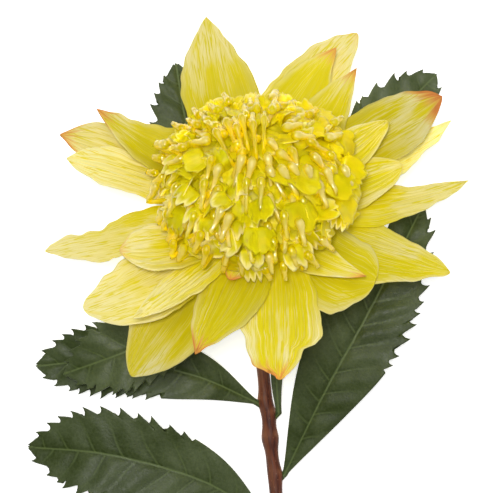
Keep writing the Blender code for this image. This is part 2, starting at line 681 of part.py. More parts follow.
def style_guides(chance):
    """The club-shaped styles, on a golden-angle spiral. Each leaves the core further from the pole than its
    bulb, bends over and ends pointing back to the pole."""
    guides = []
    stray_angle, stray_turn, stray_lean, stray_height = STYLE_STRAY
    first = math.cos(math.radians(STYLE_FIRST_ANGLE))
    last = math.cos(math.radians(STYLE_LAST_ANGLE))
    for index in range(STYLES):
        share = (index + 0.5) / STYLES
        angle = math.degrees(math.acos(first + (last - first) * share))
        angle += chance.uniform(-stray_angle, stray_angle)
        turn = math.degrees(index * GOLDEN_ANGLE) + chance.uniform(-stray_turn, stray_turn)
        lean = chance.uniform(-stray_lean, stray_lean) / STYLE_PATH[0][0]
        out = 1.0 + chance.uniform(-stray_height, stray_height)
        points = [dome_point(angle + away, turn + lean * away, part * out) for away, part, _ in STYLE_PATH]
        radii = [radius for _, _, radius in STYLE_PATH]
        guides.append(tube(f"style_{index:03d}", points, radii, 0))
    return guides


def make_segment(name, angle, turn, droop, collection):
    """A split perianth segment: it rises from the core, bends over outwards and ends in teeth."""
    half = [(share * SEGMENT_LENGTH, -side) for share, side in SEGMENT_EDGE]
    outline = half + [(x, -y) for x, y in reversed(half)]
    inner = [(SEGMENT_LENGTH * share, 0.0) for share in SEGMENT_SPINE]

    def place(x, y):
        s = x / SEGMENT_LENGTH
        rise = math.sin(min(s * SEGMENT_RISE, 1.0) * math.pi / 2)
        out = SEGMENT_ROOT + (SEGMENT_TOP - SEGMENT_ROOT) * rise
        away = angle + droop * s ** 2
        radius = DOME_RADIUS * out * math.sin(math.radians(away))
        return dome_point(away, turn + math.degrees(y / radius), out)

    made = blade(name, outline, inner, place, SEGMENT_THICKNESS, collection)
    bpy.context.view_layer.update()
    return baked(made, collection)


def make_floret_head(collection, material):
    chance = random.Random(SEED)
    core = make_core(collection)
    pieces = meshes_of(style_guides(chance), collection)
    for index in range(RIM_SEGMENTS):
        turn = 360.0 * index / RIM_SEGMENTS + chance.uniform(-RIM_SEGMENT_STRAY, RIM_SEGMENT_STRAY)
        pieces.append(make_segment("rim_segment", RIM_SEGMENT_ANGLE, turn, RIM_SEGMENT_DROOP, collection))
    for angle, turn in UPPER_SEGMENTS:
        pieces.append(make_segment("upper_segment", angle, turn, UPPER_SEGMENT_DROOP, collection))
    return fuse("floret_head", core, pieces, collection, material, "MANIFOLD")


def main():
    clear_scene()
    collection = new_collection("waratah_stem")
    materials = {name: new_material(name) for name in MATERIALS}
    chance = random.Random(SEED)
    make_stem(collection, materials["stem_bark"])
    make_floret_head(collection, materials["floret_yellow"])
    for number, bract in enumerate(BRACTS, 1):
        phase = chance.uniform(0.0, 2 * math.pi)
        make_bract(number, bract, phase, collection, materials["bract_yellow"])
    for number, leaf in enumerate(LEAVES, 1):
        phase = chance.uniform(0.0, 2 * math.pi)
        make_leaf(f"leaf_{number:02d}", leaf, phase, collection, materials["leaf_green"])


main()
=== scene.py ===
"""Looks of a cut waratah stem, laid on a pale table and seen from above.

Lengths are in millimetres, measured from under the middle of the flower head, and MM and PLACE turn them
into the frame's metres. The head has a frame of its own, tilted back from upright: u is across, v points to
the side of the head that lies on the table, and w rises along the head's axis.
"""

import bisect
import random
from collections import namedtuple
from math import acos, atan2, copysign, cos, degrees, exp, hypot, pi, radians, sin, sqrt, tan

import bpy
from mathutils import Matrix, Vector, noise


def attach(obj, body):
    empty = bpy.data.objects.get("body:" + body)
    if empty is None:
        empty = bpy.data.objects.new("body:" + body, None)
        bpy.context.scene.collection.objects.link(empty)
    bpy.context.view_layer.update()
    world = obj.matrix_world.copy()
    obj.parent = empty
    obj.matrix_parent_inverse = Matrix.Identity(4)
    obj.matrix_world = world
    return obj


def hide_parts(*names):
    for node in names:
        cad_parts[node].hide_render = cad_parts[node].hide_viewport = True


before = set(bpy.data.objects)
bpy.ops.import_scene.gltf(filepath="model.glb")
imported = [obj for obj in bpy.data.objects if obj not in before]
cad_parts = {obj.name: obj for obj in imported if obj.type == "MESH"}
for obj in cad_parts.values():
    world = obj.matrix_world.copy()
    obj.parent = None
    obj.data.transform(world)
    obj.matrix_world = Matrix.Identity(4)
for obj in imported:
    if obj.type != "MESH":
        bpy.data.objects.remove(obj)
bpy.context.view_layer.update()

MM = 0.001

# Where the flower lies, from under the head's centre to the middle of the whole
PLACE = Vector((10.8, 122.5, 0.0))

# The camera looks straight down, and its picture is turned a little against the stalk
IMAGE_SIZE = 493
CAMERA_OFFSET = Vector((-7.1, -23.1, 900.0))
CAMERA_TURN = radians(-6)
FOCAL_PIXELS = 2097.6
SENSOR_WIDTH = 36.0

# The head's frame
HEAD_TILT = radians(35)
HEAD_CENTRE = Vector((0.0, 0.0, 50.0))
HEAD_RIGHT = Vector((1.0, 0.0, 0.0))
HEAD_TOP = Vector((0.0, cos(HEAD_TILT), -sin(HEAD_TILT)))
HEAD_AXIS = Vector((0.0, sin(HEAD_TILT), cos(HEAD_TILT)))

# The stalk
STALK_RADIUS = 2.65
STALK_CUT_END = -322.0
STALK_SIDE = -5.6
STALK_BOW = 1.5
STALK_TAPER = 0.15
NECK_JOIN = -20.0
NECK_BASE = -24.0
CUT_SLANT = radians(35)
CUT_BACK = 3.0
STALK_SIDES = 28
STALK_ROWS = 420
STALK_SAMPLES = 600
# A swelling where a leaf grows: length, height and the share of it that goes all round
NODE_LENGTH = 4.2
NODE_RISE = 1.0
NODE_ROUND = 0.35
# Scars of fallen leaves, how far above its swelling each lies, and its length
LEAF_SCARS = (-166.0, -193.0, -221.0, -250.0, -281.0)
RING_SCARS = (-105.5,)
SCAR_ABOVE = 1.5
SCAR_LENGTH = 1.3
# Relief round the stalk, and round the receptacle as a share of its radius: height, pace and length
BARK_RIDGES = (0.12, 3.0, 9.0)
RECEPTACLE_LUMPS = (0.03, 2.5, 4.0)
# How green the bark is under the head, and over what length that fades
TOP_GREEN = 0.6
GREEN_LENGTH = 60.0

# The receptacle, from its neck up: radius and height along the head's axis
RECEPTACLE = ((2.9, -25.0), (4.6, -21.5), (8.5, -18.0), (14.0, -15.3), (18.0, -13.8), (18.4, -9.0),
              (17.6, -5.0))
RECEPTACLE_SIDES = 64
RECEPTACLE_ROWS = 28
RECEPTACLE_GREEN = 0.75

# The dome of styles, and the core that they stand on
DOME_RADIUS = 44.0
DOME_HEIGHT = 30.0
CORE_SHARE = 0.79
CORE_RINGS = 40
CORE_SIDES = 64
CORE_ANGLES = (1.0, 105.0)
CORE_LUMP = 0.06
CORE_LUMP_LENGTH = 3.0
GOLDEN_ANGLE = pi * (3.0 - sqrt(5.0))
SEED = 5

# The styles that fill the dome: how many are tried, their polar angles, how far these and their turns
# stray, how close two may stand, how pale the palest is and how far out they reach
FILL_STYLES = 160
FILL_ANGLES = (6.0, 86.0)
FILL_STRAY = (3.0, 5.0)
STYLE_APART = 3.4
FILL_PALE = 0.8
FILL_OUT = (0.86, 0.97)
# None stands this far out in degrees within this turn of the right, or of the table's side
BARE_RIGHT = (46.0, 52.0)
BARE_TOP = (50.0, 60.0)

# Every style: how far it strays in or out, its lean sideways in degrees, its thickness against STYLE_RADIUS,
# and how much thicker a pale one is
OUT_STRAY = (-0.03, 0.02)
SIDEWAYS = 16.0
STYLE_SIZES = (0.78, 0.96)
PALE_THICKER = 0.12
STYLE_SIDES = 12
STYLE_ROWS = 24
STYLE_SAMPLES = 60
STYLE_CROWDING = 2.2

# A style from its bulb down: how far it reaches to its belly, and the share of that at the rim
STYLE_REACH = 16.0
STYLE_RIM_SHARE = 0.35
# How far it leans outwards at the pole and at the rim, and droops towards the stalk, in degrees
STYLE_LEAN_POLE = 14.0
STYLE_LEAN_RIM = 22.0
STYLE_DROOP = 36.0
# Past the axis towards the table's side it changes over to this lean and is shorter by this share
HANG_FROM = -1.0
HANG_FULL = 7.0
STYLE_LEAN_TOP = 66.0
STYLE_TOP_SHORTER = 0.45
# How far a bulb nods towards the pole, and where on the core a style stands
STYLE_NOD = 1.2
STYLE_ROOT_AWAY = 16.0
STYLE_ROOT_SHARE = 0.50
# A style's radius by the distance from its bulb's end, and the length of the bulb's round cap
STYLE_RADIUS = ((0.0, 0.15), (0.15, 0.8), (0.6, 1.4), (1.4, 1.85), (2.6, 2.1), (4.2, 1.8), (6.0, 1.35),
                (8.0, 1.12), (11.0, 1.05), (40.0, 1.0))
BULB_CAP = 1.2

# The styles that show: polar angle and turn in degrees, and whether it is a pale one
SHOWN_STYLES = (
    (4, 75, 0), (7, 207, 0), (8, 12, 1), (8, 165, 0), (10, 135, 0), (10, 229, 1), (10, 263, 1), (10, 313, 1),
    (12, 92, 0), (14, 115, 0), (14, 334, 1), (15, 60, 0), (15, 185, 0), (17, 291, 1), (17, 150, 0),
    (19, 29, 1), (20, 308, 1), (20, 352, 0), (22, 96, 0), (22, 206, 1), (22, 254, 0), (22, 275, 0),
    (23, 323, 1), (23, 14, 1), (23, 189, 0), (24, 138, 0), (26, 64, 0), (26, 160, 1), (28, 82, 0),
    (30, 4, 0), (31, 332, 1), (32, 346, 1), (33, 210, 0), (39, 70, 1), (39, 141, 0), (39, 167, 0),
    (41, 106, 0), (41, 239, 1), (42, 340, 1), (43, 10, 1), (43, 246, 1), (44, 287, 0), (49, 129, 0),
    (52, 144, 0), (52, 201, 0), (52, 221, 0), (52, 295, 1), (53, 349, 1), (56, 26, 0), (57, 259, 0),
    (58, 157, 1), (62, 230, 0), (65, 183, 1), (69, 236, 0), (76, 292, 0),
)

# Tall styles in the middle that lie towards the table: where their bulbs end, across and towards the table
TALL_STYLES = ((-14.0, 9.0), (-9.5, 13.5), (-6.0, 9.5), (-3.5, 14.5), (0.5, 10.0), (5.0, 12.5))
TALL_LENGTH = 15.0
TALL_SPREAD = 0.25
TALL_SIZES = (0.78, 0.9)
TALL_PALE = 0.5
# Their share of the way out at the root, above it, halfway and at the bulb
TALL_RISE = (STYLE_ROOT_SHARE, 0.93, 1.0, 1.06)

# The sheets that the bracts lie on
SHEET_START = -12.5
SHEET_STEP = 2.0
SHEET_EDGE = 42.0
SHEET_SOFTNESS = 8.0
SHEET_SLOPE = -0.13
SHEET_LIFT = 0.43
SHEET_SPREAD = 0.17

# Bracts
BRACT_THICKNESS = 0.45
BRACT_ROOT_RADIUS = 18.9
BRACT_ROOT_HALF_WIDTH = 3.6
BRACT_NARROWEST = 0.15
BRACT_BEND = 0.52
BRACT_SHOULDER = 1.4
BRACT_ROWS = 84
BRACT_COLUMNS = 29
# Crowding: how much closer rows lie towards the end. Own: how far apart the patterns of two pieces are
BRACT_CROWDING = 1.5
BRACT_OWN = 3.7
# The shares of its length between which it leaves its sheet, and from which it curls
BRACT_FREE_FROM = 0.3
BRACT_FREE_BY = 0.62
CURL_FROM = 0.55
RIPPLES = 2.5
# Ragged margins: depth, length, and the half width that has all of it
RAGGED_EDGE = 1.0
RAGGED_LENGTH = 5.0
RAGGED_HALF = 4.0
# Lengthwise folds: depth, number, how fast they fade, and the half width that has all of it
FLUTE_DEPTH = 0.45
FLUTES = 9
FLUTE_FADE = 3.0
FLUTED_HALF = 6.0
# Buckles: height, length and width
BUCKLES = ((1.8, 30.0, 13.0), (0.5, 12.0, 4.0))

# level: which sheet, from the back. root, azimuth: where it starts and where its tip points, in degrees from
# u towards v. reach: from the head's axis to its tip. widest: share of its length. blunt: below 1 for a round
# end. cup, curl, ripple: how far the margins, the tip and the margins' waves leave the sheet. pale, flutes,
# red: how pale it is, how deep its folds are and how red its tip is.
Bract = namedtuple("Bract", "level root azimuth reach width widest blunt cup curl ripple pale flutes red")
BRACTS = (
    Bract(1.4, 106, 99.5, 84.5, 31, 0.52, 0.85, 1.0, 0.0, 0.6, 0.35, 0.2, 0.1),
    Bract(0.0, 77, 57.0, 91.0, 30, 0.52, 0.75, 0.6, 0.0, 0.5, 0.90, 0.2, 0.4),
    Bract(0.7, 74, 59.5, 77.5, 28, 0.52, 0.90, 0.6, 1.0, 0.4, -0.35, 0.1, 0.8),
    Bract(1.6, 50, 48.5, 70.0, 24, 0.50, 0.95, 1.0, 2.0, 0.4, -0.05, 0.3, 0.9),
    Bract(1.1, 27, 24.5, 88.0, 31, 0.62, 0.70, 1.0, 1.0, 0.6, 0.20, 0.3, 1.1),
    Bract(2.6, 25, 23.0, 61.0, 20, 0.55, 0.60, 1.5, 1.0, 0.4, 0.40, 0.8, 0.0),
    Bract(0.0, 15, 21.0, 89.5, 22, 0.50, 0.95, 0.5, 0.0, 0.4, 1.20, 0.2, 0.0),
    Bract(1.8, 2, 6.5, 60.0, 26, 0.55, 0.60, 1.0, 0.5, 0.4, 0.20, 0.5, 0.0),
    Bract(0.5, 347, 1.5, 86.5, 20, 0.45, 0.95, 0.5, 0.0, 0.4, 0.60, 0.4, 0.1),
    Bract(0.0, 323, 335.0, 81.5, 24, 0.55, 0.70, 0.8, 0.0, 0.6, 0.30, 0.5, 0.1),
    Bract(0.8, 300, 317.5, 58.5, 34, 0.70, 0.42, 0.8, -1.0, 0.4, -0.25, 0.2, 0.0),
    Bract(2.2, 288, 312.5, 57.5, 17, 0.50, 0.90, 1.5, 1.0, 0.3, 0.05, 0.2, 0.8),
    Bract(1.6, 281, 270.0, 78.5, 35, 0.64, 0.55, 0.8, -1.0, 0.7, 0.15, 0.9, 0.8),
    Bract(2.1, 257, 245.0, 74.5, 28, 0.50, 0.95, 1.0, 0.0, 0.5, -0.30, 1.0, 0.9),
    Bract(3.4, 260, 250.0, 43.5, 14, 0.60, 0.50, 1.0, 2.0, 0.3, 0.00, 0.2, 0.9),
    Bract(0.0, 230, 227.0, 86.0, 32, 0.64, 0.62, 0.8, 0.0, 0.5, 0.00, 0.2, 0.0),
    Bract(1.3, 224, 208.0, 84.5, 31, 0.62, 0.60, 1.2, 0.0, 0.6, 0.80, 0.3, 0.0),
    Bract(2.85, 236, 224.5, 76.0, 15, 0.52, 0.65, 0.8, 0.0, 0.3, 0.75, 0.7, 0.0),
    Bract(3.3, 219, 203.0, 62.5, 23, 0.60, 0.65, 2.0, 1.0, 0.4, 0.60, 0.6, 0.5),
    Bract(0.6, 189, 186.0, 89.5, 22, 0.45, 1.25, 0.8, 0.0, 0.4, 0.80, 0.3, 0.1),
    Bract(1.9, 163, 163.5, 80.0, 20, 0.58, 0.80, 0.8, 0.0, 0.4, 1.10, 0.6, 0.0),
    Bract(1.2, 149, 155.5, 87.0, 23, 0.58, 0.85, 0.8, 0.0, 0.4, 1.10, 0.5, 0.9),
    Bract(2.7, 145, 147.5, 74.0, 23, 0.50, 0.90, 5.0, 1.0, 0.3, 0.15, 0.3, 0.9),
)

# Where a margin leaves the plain outline, by the bract's number: on its left, then on its right, percent of
# its length and tenths of a millimetre outwards
MARGINS = {
    1: (((50, 0), (60, 10), (80, 19), (90, 8), (100, 0)),
        ((45, 0), (60, 12), (70, 9), (80, 0))),
    2: (((45, 0), (60, -16), (70, -6), (80, 6), (100, 6)),
        ((80, 0), (95, 8), (100, 3))),
    3: (((80, 0),), ((75, 0), (90, -12), (100, 0))),
    4: (((80, 0),), ((55, 0), (70, -17), (80, -12), (92, 0))),
    5: (((40, 0), (60, -12), (70, -8), (80, -10), (97, -4)), ((90, 0),)),
    7: (((70, 0), (90, -15), (100, 0)), ((60, 0), (80, -12), (90, 4), (100, 0))),
    9: (((50, 0), (70, -22), (80, -14), (92, 0)), ((80, 0), (93, 4), (100, 0))),
    10: (((75, 0), (92, 11), (100, 2)),
         ((45, 0), (60, 25), (70, 3), (80, -11), (92, -17), (100, 0))),
    11: (((50, 0), (70, -34), (80, -30), (90, -4), (100, 0)),
         ((40, 5), (60, 34), (73, 54), (80, 56), (86, 36), (93, 6), (100, 0))),
    13: (((50, -24), (60, -32), (70, -14), (77, 3), (81, -12), (83.5, -50), (90, -38),
          (94, -34), (97, -26), (100, -6)),
         ((75, 0), (80, -6), (90, 10), (94, 16), (96.5, -10), (98.5, -24), (100, -6))),
    14: (((70, 0), (80, -6), (92, -10), (100, 0)), ((70, 0), (90, 22), (100, 2))),
    16: (((75, 0), (90, -6), (96, -10), (100, 0)), ((80, 0), (90, -8), (96, -6))),
    17: (((60, 10), (70, 15), (90, 17), (97, 6)),
         ((60, 0), (80, -16), (86, -6), (90, -9), (100, 2))),
    19: (((50, 0), (70, 19), (80, 30), (90, 28), (100, 3)),
         ((60, 0), (80, 15), (90, 20), (100, 2))),
    20: (((60, 0), (66, 6), (70, 26), (80, 36), (90, 30), (97, 14), (100, 5)),
         ((35, 0), (50, -19), (65, -30), (70, -38), (80, -7),
          (90, 23), (97, 18), (100, 6))),
    21: (((40, 0), (60, -24), (70, -20), (80, -8), (90, 0)),
         ((60, 0), (80, 26), (90, 25), (100, 3))),
    22: (((90, 0),), ((50, 0), (65, 10), (80, 26), (90, 21), (100, 3))),
    23: (((90, 0),), ((50, 0), (70, -24), (80, -20), (90, 0))),
}
PLAIN_MARGIN = ((0, 0),)

# Painted shade: bracts painted darker or brighter than the rest, standing in for the light and shade that
# fall on them
PAINTED_SHADES = {
    1: 0.91, 2: 0.98, 4: 0.93, 5: 0.79, 7: 1.22, 9: 0.95, 10: 0.91, 11: 0.84, 13: 0.96, 14: 0.84, 16: 0.74,
    19: 0.99, 20: 0.96, 21: 1.06, 22: 0.88, 23: 0.88,
}

# Leaves
LEAF_THICKNESS = 0.55
PETIOLE_HALF_WIDTH = 1.3
LEAF_SHOULDER = 1.1
LEAF_COLUMNS = 41
LEAF_OWN = 5.3
# A leaf's foot starts within the stalk, this far below the midrib
FOOT_DROP = Vector((0.0, -4.0, -1.0))
FOOT_ROWS = 6
# A tooth: its depth as a share of the leaf's width, how that varies, the share inside the plain outline,
# where its point lies in its pitch, how far that leans forwards, and how hollow its two sides are
TOOTH_DEPTH = 0.085
TOOTH_DEPTHS = (0.75, 1.2)
TOOTH_INSIDE = 0.7
TOOTH_POINT = 0.72
TOOTH_LEAN = 0.22
TOOTH_BACK = 1.3
TOOTH_FRONT = 1.8
EXTRA_TEETH = 3
PITCH_STRAY = 0.34
# A leaf's rows: their number below the teeth, and their places in a tooth's pitch
PLAIN_ROWS = 44
TOOTH_ROWS = (0.12, 0.26, 0.40, 0.52, 0.62, 0.68, 0.72, 0.76, 0.81, 0.88, 0.95, 1.0)
OUTLINE_STEPS = 800
# The share of the way to the margin from which the columns turn to the teeth
MARGIN_FROM = 0.8
# Side veins: distance, slant, pace and size of their waves, and how far the two sides are out of step
SIDE_VEIN_PITCH = 12.0
SIDE_VEIN_SLANT = 0.8
VEIN_PACE = 4.0
VEIN_WAVES = 0.35
VEIN_SHIFT = 0.4
# Puckers between them: height, where they are full, how fast they fade, and the half width that has all
VEIN_PUCKER = 0.3
PUCKER_FROM = 3.0
PUCKER_FADE = 2.5
PUCKERED_HALF = 8.0
# The midrib's groove: depth, half width, and the leaf's half width that has all of it
RIB_GROOVE = 0.5
GROOVE_HALF = 1.1
GROOVED_HALF = 5.0

# points: where the midrib passes, from the stalk to the tip. bare: the share of it that is a leaf stalk.
# toothed: the share from which it is serrated. fold: how far each half rises from flat, in degrees.
# light: how light its green is, from 0 to 1.
Leaf = namedtuple("Leaf", "points width bare teeth toothed widest blunt fold ripple light")
LEAVES = (
    Leaf(((-10.4, -139.5, 4.0), (-37.1, -119.4, 11.0), (-73.7, -104.7, 13.0), (-107.9, -98.5, 5.0)),
         39, 0.01, 9, 0.40, 0.66, 0.62, 8, 1.0, 0.45),
    Leaf(((-10.1, -89.5, 4.5), (-34.6, -75.4, 9.0), (-67.6, -65.2, 8.0), (-101.0, -64.5, 4.0)),
         31, 0.01, 8, 0.45, 0.70, 0.55, 6, 0.8, 0.35),
    Leaf(((-9.4, -55.6, 5.0), (-34.1, -53.0, 15.0), (-61.5, -61.5, 19.0), (-88.7, -68.4, 14.0)),
         33, 0.01, 8, 0.40, 0.66, 0.60, 6, 0.8, 0.65),
    Leaf(((-8.6, -46.9, 7.0), (-17.1, -8.7, 6.5), (-26.6, 28.8, 3.2), (-29.0, 57.5, 0.75)),
         30, 0.07, 8, 0.40, 0.66, 0.62, 3, 0.4, 0.4),
    Leaf(((0.3, -47.3, 7.0), (25.5, -13.0, 8.0), (53.2, 18.4, 5.0), (81.0, 41.4, 0.75)),
         31, 0.07, 9, 0.36, 0.72, 0.55, 3, 0.4, 0.75),
    Leaf(((-1.1, -121.5, 4.0), (19.8, -87.4, 12.0), (42.2, -54.7, 15.0), (69.0, -14.0, 9.0)),
         39, 0.01, 9, 0.50, 0.64, 0.58, 8, 1.0, 0.3),
    Leaf(((-0.9, -95.5, 4.5), (-0.2, -80.8, 5.5), (3.0, -64.1, 5.5), (9.0, -46.8, 4.0)),
         6, 0.07, 4, 0.50, 0.60, 0.70, 4, 0.2, 0.3),
)

# The perianth segments
SEGMENT_THICKNESS = 0.35
SEGMENT_ROWS = 15
SEGMENT_COLUMNS = 17
SEGMENT_CROWDING = 0.85
SEGMENT_OWN = 50.0
# Its root: how far down and back from where it comes out. Its length with that, against what shows
SEGMENT_DEPTH = 9.0
SEGMENT_BACK = 3.0
SEGMENT_WHOLE = 2.2
# How it leaves the surface: its tilt and the spread of its roll, in degrees
SEGMENT_TILT = (-6.0, 26.0)
SEGMENT_ROLL = 16.0
# Its droop, its cup, how far it bends sideways, and its buckles' height and pace along and across
SEGMENT_DROOP = (-0.6, 2.2)
SEGMENT_CUP = (-0.25, 0.35)
SEGMENT_SKEW = 0.2
SEGMENT_BUCKLE = 1.3
BUCKLE_PACE = (1.6, 1.3)
SEGMENT_WIDE_FROM = 0.72
SEGMENT_NARROW = 0.25
# Its end: how many teeth and how deep, how much deeper on a pale one, how round and how ragged it is
SEGMENT_TEETH = (2, 3, 4)
SEGMENT_TOOTH = (0.03, 0.09)
TOOTH_PALE = 0.11
END_ROUNDNESS = 0.16
END_RAG = 0.10
END_RAG_PACE = 3.0
# How golden a segment is in the middle, and how much more to the right and towards the table
GOLD_SHARE = 0.35
GOLD_RIGHT = 0.6
GOLD_TOP = 0.4

# The segments that fill the dome: how many are tried, the cosines of their polar angles, their turn and how
# far that strays, and how close two may stand
FILL_SEGMENTS = 260
FILL_COSINES = (0.998, 0.04)
SEGMENT_TURN = 40.0
SEGMENT_TURN_STRAY = 8.0
SEGMENT_APART = 5.2
# Their length, half width and share of the way out, and how these, their paleness and their distance change
# towards the table, and how fast
SEGMENT_LENGTHS = (8.0, 12.0)
SEGMENT_WIDTHS = (4.0, 6.0)
SEGMENT_OUT = (0.80, 0.88)
TOP_SHORTER = 0.4
TOP_NARROWER = 0.3
TOP_OUT = 0.09
TOP_PALER = 0.3
TOP_APART = 3.8
TOP_PACE = 1.6
# They lean away from the pole and down the stalk, and stray
LEAN_OUT = 0.15
LEAN_DOWN = Vector((0.0, -0.35))
SEGMENT_WAY_STRAY = 28.0
# How pale the palest is, how rare pale ones are, where they are paler, and by how much
SEGMENT_PALE = 0.8
PALE_RARITY = 1.5
PALE_TURN = 225.0
PALE_FACING = 0.4

# The lobes at the rim on the table's side. Their length is a multiple of their half width
LOBES = 26
LOBE_TURNS = (28.0, 158.0)
LOBE_ANGLES = (48.0, 72.0)
LOBE_TILT = (40.0, 75.0)
LOBE_WIDTHS = (3.0, 4.8)
LOBE_LENGTH = 1.8
LOBE_PALE = (0.1, 0.9)
LOBE_OUT = 0.84

# The segments that show: polar angle, turn, the way they lean, length, half width and how much
# of the end is pale
SHOWN_OUT = 0.93
SHOWN_SEGMENTS = (
    (22, 205, 100, 8.0, 5.0, 0.4), (18, 300, 320, 10.0, 5.5, 0.1), (30, 318, 330, 11.0, 6.0, 0.2),
    (34, 268, 275, 10.0, 6.0, 0.3), (36, 240, 215, 8.0, 4.5, 0.7), (44, 205, 215, 9.0, 5.0, 0.8),
    (54, 232, 240, 9.0, 5.0, 0.9), (60, 250, 225, 8.0, 5.0, 1.0), (68, 262, 265, 8.0, 5.0, 0.9),
    (72, 288, 290, 9.0, 6.5, 1.0), (56, 120, 120, 8.0, 5.5, 0.9), (50, 172, 190, 8.0, 4.5, 0.7),
    (44, 300, 290, 12.0, 7.0, 0.1), (50, 335, 345, 12.0, 6.5, 0.1), (40, 50, 60, 7.0, 4.0, 0.8),
    (58, 60, 70, 7.0, 4.5, 0.9), (60, 352, 0, 11.0, 6.0, 0.3), (64, 14, 20, 11.0, 6.0, 0.2),
    (66, 328, 325, 11.0, 6.0, 0.4), (58, 36, 42, 9.0, 5.5, 0.3), (74, 344, 345, 8.0, 5.0, 0.7),
    (76, 2, 5, 8.0, 5.0, 0.6), (52, 268, 262, 11.0, 7.0, 0.1), (40, 20, 15, 11.0, 6.0, 0.1),
    (64, 208, 210, 10.0, 6.0, 0.5), (30, 180, 190, 9.0, 5.0, 0.3), (46, 150, 150, 9.0, 5.0, 0.4),
)

# The table, the lamps and the sky
FLOOR_SIZE = 3.0
FLOOR_DROP = 0.0002
FLOOR_COLOUR = (0.96, 0.96, 0.955)
FLOOR_GLOW = 0.62
SKY_STRENGTH = 0.14
WHITE = (1.0, 1.0, 1.0, 1.0)
# A lamp's name, its place in metres across, away from the stalk and up, its size and its power
LAMPS = (
    ("key", (0.05, 0.70, 1.15), 0.7, 2.5),
    ("front", (-0.08, 0.10, 1.5), 0.35, 12.5),
    ("fill", (0.8, -0.5, 1.2), 1.0, 1.8),
)


# Places


def on_table(point):
    """A point given in millimetres from under the head's centre, in the frame's metres."""
    return (Vector(point) + PLACE) * MM


def head_point(u, v, w):
    """A point of the head's own frame, in millimetres from under the head's centre."""
    return HEAD_CENTRE + HEAD_RIGHT * u + HEAD_TOP * v + HEAD_AXIS * w


def smooth_step(x):
    x = min(max(x, 0.0), 1.0)
    return x * x * (3.0 - 2.0 * x)


def cosine(degrees):
    return cos(radians(degrees))


def sine(degrees):
    return sin(radians(degrees))


def polar(radius, degrees):
    return Vector((radius * cosine(degrees), radius * sine(degrees)))


def shares(count):
    """Even shares from 0 to 1."""
    return [k / (count - 1) for k in range(count)]


def spread(count):
    """Even places from -1 to 1."""
    return [2.0 * share - 1.0 for share in shares(count)]


def ring(count):
    """Even turns round a circle."""
    return [2 * pi * k / count for k in range(count)]


def distances_along(points):
    """How far along the line through them each point lies."""
    distances = [0.0]
    for a, b in zip(points, points[1:]):
        distances.append(distances[-1] + (b - a).length)
    return distances


def between(steps, share):
    """The value at a share, read along a row of (share, value) steps with a smooth ease between them."""
    if share <= steps[0][0]:
        return steps[0][1]
    for (low, a), (high, b) in zip(steps, steps[1:]):
        if share <= high:
            return a + (b - a) * smooth_step((share - low) / (high - low))
    return steps[-1][1]


def route(points, share):
    """A point on the smooth curve through the given points, and its heading."""
    last = len(points) - 1
    index = min(int(share * last), last - 1)
    t = share * last - index
    before = points[index - 1] if index else points[0] * 2 - points[1]
    a, b = points[index], points[index + 1]
    after = points[index + 2] if index + 2 <= last else points[last] * 2 - points[last - 1]
    point = (a * 2 + (b - before) * t + (before * 2 - a * 5 + b * 4 - after) * t ** 2
             + (a * 3 - before - b * 3 + after) * t ** 3) / 2
    heading = ((b - before) + (before * 2 - a * 5 + b * 4 - after) * 2 * t
               + (a * 3 - before - b * 3 + after) * 3 * t ** 2).normalized()
    return point, heading


def half_width(shape, s, foot, shoulder, bare=0.0):
    """Half the width of a bract or a leaf: its foot's, then rising to its widest place, then falling."""
    half = shape.width / 2
    if s < bare:
        return foot
    if s < shape.widest:
        rise = sin(pi / 2 * (s - bare) / (shape.widest - bare))
        return foot + (half - foot) * rise ** shoulder
    fall = cos(pi / 2 * (s - shape.widest) / (1.0 - shape.widest))
    return half * max(fall, 0.0) ** shape.blunt


# Meshes


class Sheets:
    """Collects grids of points, with values carried by each point, and makes one mesh of them."""

    def __init__(self, *fields):
        self.fields = fields
        self.points = []
        self.faces = []
        self.values = {field: [] for field in fields}

    def add(self, rows, tube=False):
        """rows: lists of (point, value, value ...). tube: each row is a ring, and both ends are closed."""
        start, width = len(self.points), len(rows[0])
        for row in rows:
            for point, *values in row:
                self.points.append(on_table(point))
                for field, value in zip(self.fields, values):
                    self.values[field].append(value)
        across = width if tube else width - 1
        for i in range(len(rows) - 1):
            for j in range(across):
                a, b = start + i * width + j, start + i * width + (j + 1) % width
                self.faces.append((a, b, b + width, a + width))
        if tube:
            self.faces.append(tuple(range(start + width - 1, start - 1, -1)))
            self.faces.append(tuple(range(len(self.points) - width, len(self.points))))

    def build(self, name, material, thickness=0.0):
        mesh = bpy.data.meshes.new(name)
        mesh.from_pydata(self.points, [], self.faces)
        for field in self.fields:
            attribute = mesh.attributes.new(field, "FLOAT_VECTOR", "POINT")
            attribute.data.foreach_set("vector", [number for value in self.values[field] for number in value])
        mesh.materials.append(material)
        mesh.shade_smooth()
        made = bpy.data.objects.new(name, mesh)
        bpy.context.scene.collection.objects.link(made)
        if thickness:
            solid = made.modifiers.new("Thickness", "SOLIDIFY")
            solid.thickness = thickness * MM
            solid.offset = 0.0
            solid.use_quality_normals = True
        return made


def dress(piece, node):
    """The piece rides on the plant and stands for that solid, which is hidden."""
    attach(piece, "root")
    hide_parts(node)


# Materials


# How much farther red and green light travel in the flower's flesh than blue
FLESH_RADIUS = (1.0, 0.85, 0.3)


